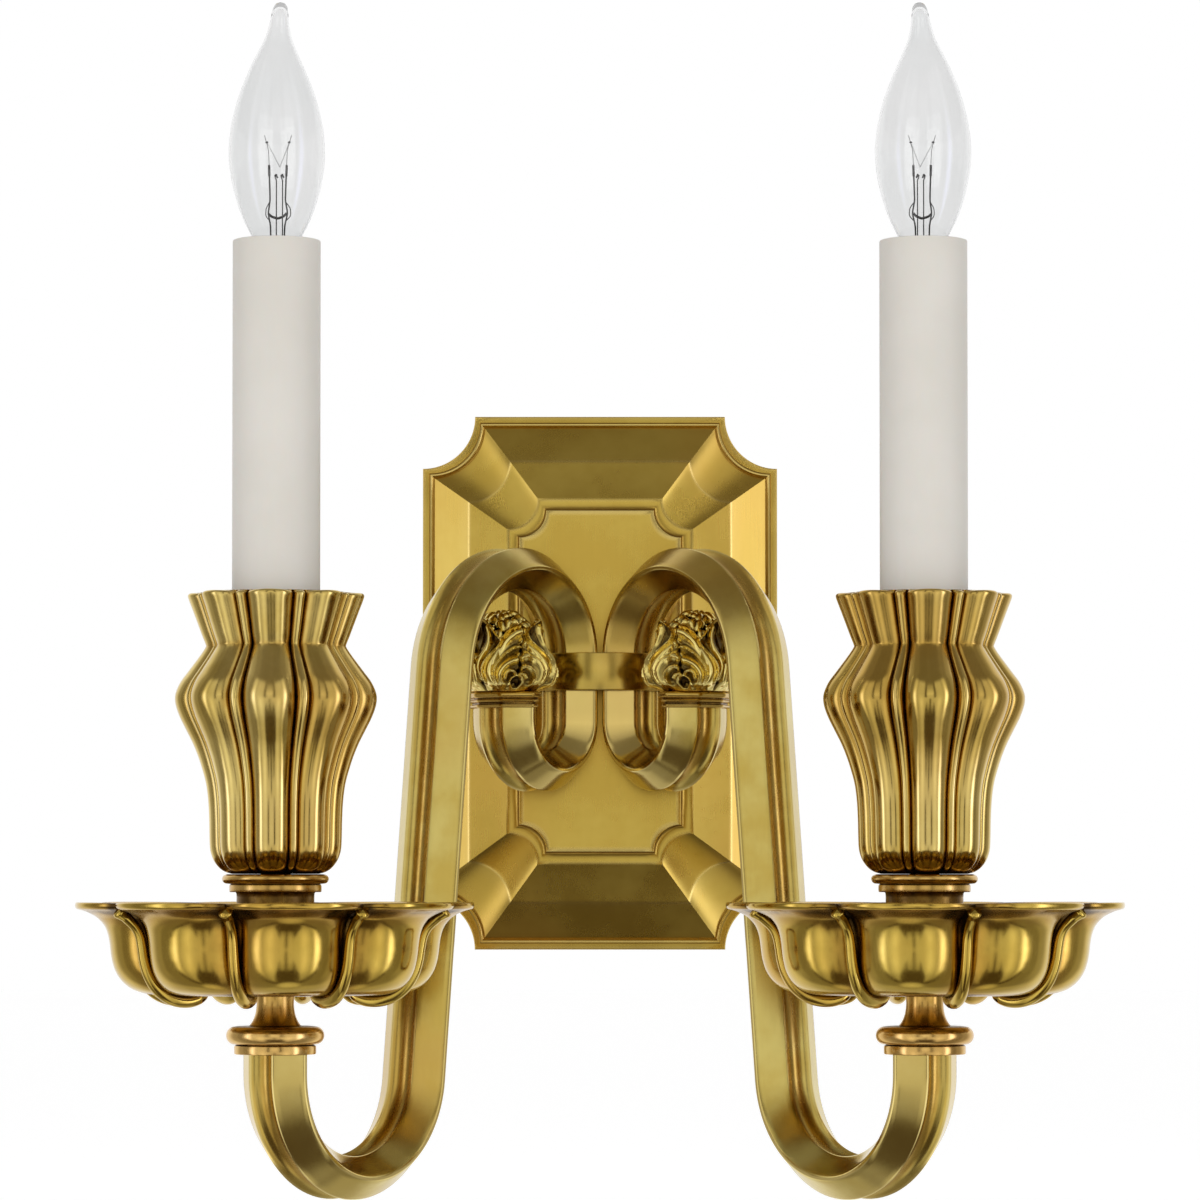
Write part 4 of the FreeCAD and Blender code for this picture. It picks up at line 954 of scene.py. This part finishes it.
def make_drip_pan():
    inside = smooth_line(PETAL_INSIDE, 5)
    local = np.linspace(-1, 1, 44, endpoint=False)
    angles, places = parts_round(PETALS, PAN_TURN, np.sign(local) * np.abs(local) ** 0.85)
    away = np.abs(places)
    # Painted shade towards the joints between petals
    joint = 0.7 * bell(away, 1.0, 0.14) + 0.45 * bell(away, 1.0, 0.42)
    rings = []
    hollow = []
    for i, (r, z) in enumerate(np.vstack([inside, smooth_line(PETAL_PROFILE, 5)])):
        near_centre = ramp(r, 14, 36)
        lip = ramp(z, -82, -78)
        share = 1 - (1 - PAN_VALLEY - 0.05 * lip) * away ** (2.15 + 0.6 * lip) * near_centre
        # The rim dips a little towards the joints
        dip = 0.275 * away ** 2 * ramp(z, -79.5, -78.5) * (r > 62) * (z > -78)
        rings.append(ring_at(CANDLE, r * share, angles, z - dip))
        if i < len(inside):
            # The pan's inside gets an even painted shade
            deep = 0.25
        else:
            # Painted shade under the floor and below the lip
            deep = 0.5 * (z < PAN_LOW + 0.8) + 0.5 * bell(z, -79.8, 0.9) + 0.3 * bell(z, -82.0, 2.6)
        hollow.append(np.clip(joint * near_centre + deep, 0, 1))
    pan = skin("drip_pan", rings, hollow)
    rib = make_pan_rib()
    first = math.radians(PAN_TURN + 180.0 / PETALS) + ARM_TURN
    run_tree(rib, circle_tree(), Count=PETALS, First_Angle=first, Finish=COATS["pan"])
    rib.data.transform(Matrix.Translation((CANDLE[0] * MM, CANDLE[1] * MM, 0)))
    set_in_place(joined("drip_pan", [pan, rib], 45), "pan")


def make_pan_rib():
    """A rolled rib: a small knob under the lip, a thin neck, and a fuller roll that turns in below."""
    line = smooth_line([(r, 0, z) for r, z in RIB_LINE], 6)
    width = np.interp(np.linspace(0, 1, len(line)), *zip(*RIB_WIDTH))
    return tube("pan_rib", line, width, 18, 1.05, (0, 1, 0))


CUP_PROFILE = [
    (27.2, CUP_TOP), (27.9, 23.45), (28.5, 23.05), (28.65, 22.3), (28.1, 20.6), (27.1, 18.0), (25.6, 14.0),
    (24.0, 9.7), (23.0, 7.2), (22.7, 6.3), (22.7, 6.3), (23.3, 5.2), (24.8, 3.0), (28.3, -1.7),
    (30.9, -5.2), (32.4, -8.4), (32.8, -10.8), (32.35, -13.6), (31.0, -17.2), (29.0, -21.2), (26.9, -25.4),
    (25.2, -29.6), (23.9, -33.6), (22.8, -37.6), (22.15, -41.6), (21.8, -45.6), (21.6, -50.0),
    (21.5, -55.0), (21.35, -58.8), (20.9, -61.2), (19.9, -63.6), (18.2, -65.7), (16.4, -66.9),
    (14.6, -67.45), (13.0, CUP_LOW), (3.0, CUP_LOW),
]
CUP_INSIDE = [
    (3.0, CUP_FLOOR), (14.6, CUP_FLOOR), (14.6, CUP_FLOOR), (14.62, -2.0), (15.2, 2.0), (16.8, 6.3),
    (18.6, 10.6), (20.4, 14.6), (22.2, 18.8), (23.6, 22.0), (23.6, 22.0), (24.3, 23.1), (25.4, CUP_TOP),
]
# Radii as shares of a lobe's crest
VALLEY = 0.83
BEAD_CREST = 0.92
# A bead's half width as a share of half a lobe's
BEAD_SHARE = 4.6 / 22.5


def cup_share(place, flat):
    """Radius across a lobe and its bead as a share of the lobe's crest, and the painted shade in its grooves
    with a painted highlight on the bead's crest.
    """
    lobe_end = 1 - BEAD_SHARE
    away = np.abs(place)
    lobe = VALLEY + (1 - VALLEY) * np.clip(1 - (away / lobe_end) ** 2, 0, 1) ** 0.66
    bead = VALLEY + (BEAD_CREST - VALLEY) * np.sqrt(np.clip(1 - ((1 - away) / BEAD_SHARE) ** 2.2, 0, 1))
    groove = bell(away, lobe_end, 0.03)
    share = np.where(away < lobe_end, lobe, bead) - 0.012 * groove
    deep = 0.4 * groove + 0.15 * bell(away, lobe_end, 0.08) + 0.32 * bell(away, lobe_end, 0.2)
    deep = np.clip(deep, 0, 1) - 0.4 * bell(away, 1.0, 0.08)
    return 1 - (1 - share) * flat, deep * flat


def make_candle_cup():
    half = np.concatenate([np.linspace(0, 0.66, 12, endpoint=False),
                           np.linspace(0.66, 0.90, 14, endpoint=False), np.linspace(0.90, 1.0, 5)[:-1]])
    angles, places = parts_round(CUP_LOBES, CUP_TURN, np.concatenate([[-1.0], -half[:0:-1], half]))
    rings = []
    hollow = []
    for r, z in smooth_line(CUP_INSIDE, 4):
        share, deep = cup_share(places, 0.55 * ramp(z, 18, CUP_TOP))
        rings.append(ring_at(CANDLE, r * share, angles, z))
        # The inside is painted darker as shade, less so at the rim
        hollow.append(np.clip(0.6 + deep, 0, 1) * (1 - 0.6 * ramp(z, 20, 23)))
    for r, z in smooth_line(CUP_PROFILE, 4):
        share, deep = cup_share(places, ramp(r, 9, 15))
        drop = 0.9 * (1 - share) / (1 - VALLEY) * ramp(z, 20, CUP_TOP)
        rings.append(ring_at(CANDLE, r * share, angles, z - drop))
        # Painted shade low on the body by the foot and in the crease at the waist, and painted highlight on
        # its shaft
        low = 0.35 * eased(-z, 61, 67) - 0.2 * eased(-z, 24, 38) * (1 - eased(-z, 57, 62))
        hollow.append(np.clip(deep + low + 0.25 * bell(z, 6.3, 1.2), -1, 1))
    cup = skin("candle_cup", rings, hollow)
    smooth(cup.data, 60)
    set_in_place(cup, "cup")


def make_sleeve():
    soft = 0.45
    profile = [(SLEEVE_BORE_R, CUP_FLOOR), (SLEEVE_R, CUP_FLOOR), (SLEEVE_R, SLEEVE_TOP - soft),
               (SLEEVE_R - 0.12, SLEEVE_TOP - 0.12), (SLEEVE_R - soft, SLEEVE_TOP),
               (SLEEVE_BORE_R + 0.3, SLEEVE_TOP), (SLEEVE_BORE_R, SLEEVE_TOP - 0.3)]
    set_in_place(turned("candle_sleeve", profile, 128, capped=False), "ivory", "sleeve")


GLASS_OUTSIDE = [
    (5.6, GLASS_FOOT), (5.6, GLASS_FOOT), (5.6, BASE_TOP), (5.95, 132.6), (7.0, 136.4), (8.5, 140.2),
    (10.75, 144.9), (12.5, 149.4), (13.95, 154.4), (15.1, 160.0), (15.7, 166.4), (15.3, 173.2),
    (14.3, 178.9), (12.95, 184.2), (11.05, 189.6), (8.75, 195.1), (6.3, 200.3), (4.5, 204.2), (3.4, 208.4),
    (2.75, 212.4), (2.35, 214.4), (1.6, 215.8), (0.6, GLASS_TIP),
]
# The height from which the wall thickens to the drawn-out tip, and the hollow's end in it
GLASS_SOLID = 212.2
GLASS_INNER_TIP = [(1.85, 212.9), (1.5, 213.6), (1.0, 214.2), (0.4, 214.5)]
GLASS_WALL = 0.55
FOOT_WALL = 0.7
FILAMENT_TURNS = 15


def make_bulb_glass():
    outside = smooth_line(GLASS_OUTSIDE, 6)
    inside = [(max(r - (GLASS_WALL if z > BASE_TOP else FOOT_WALL), 0.5), z)
              for r, z in outside if z < GLASS_SOLID]
    profile = np.vstack([(inside + GLASS_INNER_TIP)[::-1], outside])
    angles = full_turn(128)
    rings = []
    for r, z in profile:
        lean = 1.15 * ramp(z, 196, 216) ** 1.3
        rings.append(ring_at((CANDLE[0] + lean, CANDLE[1]), r, angles, z))
    glass = skin("bulb_glass", rings)
    smooth(glass.data, 60)
    set_in_place(glass, "glass", "bulb")


def make_bulb_base():
    """The lamp's screw base with its rolled thread and contact, and the dark ring beside the contact."""
    rows = [(0.5, BASE_TIP, 0), (2.0, BASE_TIP, 0), (2.4, BASE_TIP + 0.4, 0), (2.4, BASE_LOW - 0.05, 0),
            (5.2, BASE_LOW, 0), (5.6, BASE_LOW + 0.1, 0), (5.85, BASE_LOW + 0.5, 0)]
    for z in np.linspace(BASE_LOW + 0.7, BASE_TOP - 0.7, 90):
        fade = 1 - eased(z, BASE_TOP - 4.0, BASE_TOP - 2.2)
        rows.append((5.9, z, eased(z, BASE_LOW + 1.0, BASE_LOW + 2.4) * fade))
    rows += [(5.95, BASE_TOP - 0.4, 0), (5.9, BASE_TOP, 0), (5.65, BASE_TOP, 0),
             (5.65, GLASS_FOOT - 0.1, 0), (0.5, GLASS_FOOT - 0.1, 0)]
    angles = full_turn(96)
    rings = []
    for r, z, share in rows:
        cut = THREAD_DEPTH * share * (0.5 - 0.5 * np.cos(angles - math.tau * z / THREAD_PITCH))
        rings.append(ring_at(CANDLE, r - cut, angles, z))
    set_in_place(skin("bulb_base", rings), "lamp_brass", "bulb")
    ring = [(0.5, BASE_LOW + 0.1), (0.5, BASE_LOW - 0.7), (2.5, BASE_LOW - 0.7), (3.4, BASE_LOW - 0.3),
            (4.9, BASE_LOW - 0.1), (4.9, BASE_LOW + 0.1)]
    set_in_place(turned("base_insulator", ring, 64), "phenolic", "bulb", "bulb_base")


def make_bulb_mount():
    """The lamp's inside: the pressed glass stem, two leads, two supports with hooks, and the filament."""
    pieces = [turned("stem", [(0.3, GLASS_FOOT), (4.8, GLASS_FOOT), (4.8, GLASS_FOOT + 1.4),
                              (3.2, GLASS_FOOT + 3.0), (2.6, 134.0), (1.5, 137.2), (0.3, 138.2)], 32)]

    def wire(radius, sides, cut, *places):
        """A wire through places told by x, z and at times y, all from the candle's axis."""
        line = [(CANDLE[0] + x, CANDLE[1] + sum(y), z) for x, z, *y in places]
        pieces.append(tube("wire", rounded(line, cut) if cut else line, radius, sides))

    for s, out, inner in ((-1, -2.5, -0.15), (1, 3.15, 1.85)):
        eye = 0.35 + s * 3.65
        # A lead and its end, a support and its hook, a fine wire, and the eye that holds the filament
        wire(0.28, 8, 1.0, (out * 0.7, 131), (out * 0.82, 143.4), (out * 1.12, 147.4), (out * 0.88, 151.6),
             (out, 163.0))
        wire(0.42, 8, 0.4, (out * 0.98, 159.5), (out, 161.5), (out * 1.01, 163.1))
        wire(0.2, 8, 0.4, (inner, 133), (inner, 158.2), (inner - 0.5, 159.2), (inner + 0.1, 160.2))
        wire(0.3, 8, 0.3, (inner - 0.55, 159.4), (inner - 0.1, 160.1), (inner + 0.35, 158.9))
        wire(0.1, 6, 0.6, (out, 162.8), (out + s * 0.25, 168.0), (0.35 + s * 4.4, 172.8))
        wire(0.24, 8, 0.2, (eye - 0.35, 170.3), (eye, 170.75), (eye + 0.4, 170.4))
        coil = []
        for t in np.linspace(0, 1, 90):
            turn = t * math.tau * FILAMENT_TURNS
            x = eye + (1.0 - eye) * t + 0.14 * math.cos(turn)
            coil.append((x, 170.6 - 8.2 * t, 0.14 * math.sin(turn)))
        wire(0.06, 5, 0, *coil)
        wire(0.16, 8, 0.7, (out * 0.85, 144.6), (out * 1.45, 146.6), (out * 1.4, 149.0), (out, 150.8))
    wire(0.42, 8, 0.6, (-2.7, 147.2), (-1.6, 146.2, -0.5), (0.4, 145.6, -0.6), (2.2, 146.3, -0.5),
         (3.2, 147.4))
    set_in_place(joined("bulb_mount", pieces), "leads", "bulb")


SIDE_COATS = {"arm_screws": "zinc", "wire": "lead_wire", "bud_stud": "zinc", "nipple": "zinc",
              "locknut": "zinc", "socket_bracket": "zinc", "socket_body": "phenolic",
              "socket_shell": "lamp_brass"}


def dress_hidden_nodes():
    """The fixings, wiring and sockets keep their solids and get their own finishes."""
    coats = {"mounting_bar": "zinc", "plate_grub_screws": "dark", "ground_screw": "green",
             "clamp_screws": "dark"}
    for side in SIDES:
        for node, coat in SIDE_COATS.items():
            coats[side + "_" + node] = coat
    for node, coat in coats.items():
        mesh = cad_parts[node].data
        mesh.materials.clear()
        mesh.materials.append(COATS[coat])
        smooth(mesh, 35)


# ---- Studio ----

FRONT_LIFT = (-90, -66, -50, -43, -36, -28, -18, -8, 0, 5, 12, 24, 34, 42, 48, 54, 70, 90)
FRONT_GLOW = (
    0.02, 0.03, 0.02, 0.04, 0.45, 0.74, 0.84, 0.84, 0.90, 1.12, 0.98, 0.85, 0.65, 0.53, 0.24, 0.18, 0.2,
    0.2,
)


def tent_glow(turn, lift):
    """The light tent's glow in a direction: degrees to the side of the camera, and degrees upwards."""
    aside = np.abs(turn)
    below = np.clip(-lift - 13.0, 0, 60)
    gap = 19.0 - 15.0 * eased(-lift, 6, 12) + 0.62 * below
    end = 74.0 - 0.42 * below
    open_side = eased(aside, gap - 2, gap + 5) * (1 - eased(aside, end - 6, end + 6))
    level = eased(lift, -80, -62) * (1 - eased(lift, 44, 58))
    windows = 0.84 - 0.006 * below + 0.5 * bell(aside, 34, 9) * bell(lift, -26, 20)
    strip = 2.4 if turn > 0 else 1.5
    windows = (windows + strip * bell(aside, 62, 7) * bell(lift, -4, 30)) * (1 - 0.35 * bell(aside, 52, 4))
    windows = windows * open_side * level
    slit = 1 - 0.9 * bell(aside, 0, 3.2) * eased(-lift, 10, 16) * (1 - eased(-lift, 44, 54))
    front = np.interp(lift, FRONT_LIFT, FRONT_GLOW) * (1 - eased(aside, 10, 16)) * slit
    behind = (0.55 * eased(lift, -88, -70) + 0.5 * eased(lift, -60, -30)) * (1 - eased(lift, 42, 68))
    behind = behind * (0.4 * eased(aside, 84, 98) + 0.6 * eased(aside, 108, 132))
    ceiling = 0.03 + 0.15 * eased(lift, 20, 50) + 0.75 * eased(-lift, 73, 84)
    return np.maximum.reduce([windows, front, behind, ceiling, 0.25 * eased(aside, 60, 75)])


def make_light_tent():
    """A tent round the studio that only reflections see: bright windows at the sides, darker elsewhere."""
    rows, columns = 120, 240
    verts = []
    glow = []
    for lift in np.linspace(-88, 88, rows):
        out = TENT_R * math.cos(math.radians(lift))
        for turn in np.linspace(-180, 180, columns, endpoint=False):
            verts.append((out * math.sin(math.radians(turn)), -out * math.cos(math.radians(turn)),
                          TENT_R * math.sin(math.radians(lift))))
            glow.append(float(tent_glow(turn, lift)))
    mesh = bpy.data.meshes.new("light_tent")
    mesh.from_pydata(verts, [], wall_faces(rows, columns))
    store(mesh, "glow", glow)
    f = Finish("light_tent")
    plain = f.mixed(f.stored("glow"), (0.09, 0.065, 0.035), WHITE)
    colour = f.mixed(f.ranged(f.stored("glow"), 1.0, 2.2), plain, (1.0, 1.03, 1.5))
    lamp = f.put("Emission", Color=colour, Strength=f.math("MAXIMUM", f.stored("glow"), 1.0))
    f.feed(f.nodes["Material Output"].inputs["Surface"], lamp.outputs[0])
    mesh.materials.append(f.material)
    tent = shown("light_tent", mesh)
    tent.visible_camera = False
    tent.visible_diffuse = False
    tent.visible_transmission = False
    tent.visible_shadow = False


def make_world():
    """White to the camera, in reflections and through glass, and a softer light on all else."""
    world = bpy.data.worlds.new("studio")
    bpy.context.scene.world = world
    w = Shading(world)
    w.nodes.clear()
    rays = w.put("LightPath").outputs
    seen = w.math("MAXIMUM", rays["Is Camera Ray"], rays["Is Glossy Ray"])
    seen = w.math("MAXIMUM", seen, rays["Is Transmission Ray"])
    mix = w.put("MixShader", Fac=seen)
    for place, strength in ((1, WORLD_LIGHT), (2, 1.0)):
        light = w.put("Background", Color=WHITE, Strength=strength)
        w.feed(mix.inputs[place], light.outputs[0])
    w.feed(w.put("OutputWorld").inputs[0], mix.outputs[0])


def make_floor():
    """A pale floor that is a little lighter where the camera sees it."""
    bpy.ops.mesh.primitive_plane_add(size=FLOOR_SIZE, location=(0, 0, FLOOR_Z))
    floor = bpy.context.object
    floor.name = "floor"
    f = Finish("pale_floor")
    seen = f.put("LightPath").outputs["Is Camera Ray"]
    f.set(Base_Color=(0.86, 0.86, 0.86), Roughness=0.9, Emission_Color=WHITE,
          Emission_Strength=f.math("MULTIPLY", seen, 0.42))
    floor.data.materials.append(f.material)
    floor.visible_glossy = False


def make_softboxes():
    """A soft lamp in front to either side."""
    for side, name in ((-1, "left_softbox"), (1, "right_softbox")):
        lamp = bpy.data.lights.new(name, "AREA")
        lamp.shape = "RECTANGLE"
        lamp.size, lamp.size_y = LAMP_SIZE
        lamp.energy = LAMP_POWER
        holder = shown(name, lamp)
        holder.location = (side * LAMP_PLACE[0], *LAMP_PLACE[1:])
        aim = Vector(LAMP_AIM) - holder.location
        holder.rotation_euler = aim.to_track_quat("-Z", "Y").to_euler()
        holder.visible_glossy = False


def set_up_camera():
    camera = bpy.data.cameras.new("camera")
    camera.sensor_width = 36.0
    camera.lens = LENS
    camera.shift_y = 0.10
    camera.clip_start = 0.05
    camera.clip_end = 100.0
    holder = shown("camera", camera)
    holder.location = CAMERA_PLACE
    holder.rotation_euler = (math.radians(90) + CAMERA_TILT, 0, 0)
    bpy.context.scene.camera = holder


# ---- The whole light ----

make_backplate()
make_arms()
make_clamp_band()
make_bud_collar()
make_bud()
make_ferrule()
make_pedestal()
make_neck()
make_drip_pan()
make_candle_cup()
make_sleeve()
make_bulb_glass()
make_bulb_base()
make_bulb_mount()
dress_hidden_nodes()
make_world()
make_floor()
make_light_tent()
make_softboxes()
set_up_camera()
bpy.context.scene.view_settings.view_transform = "Standard"
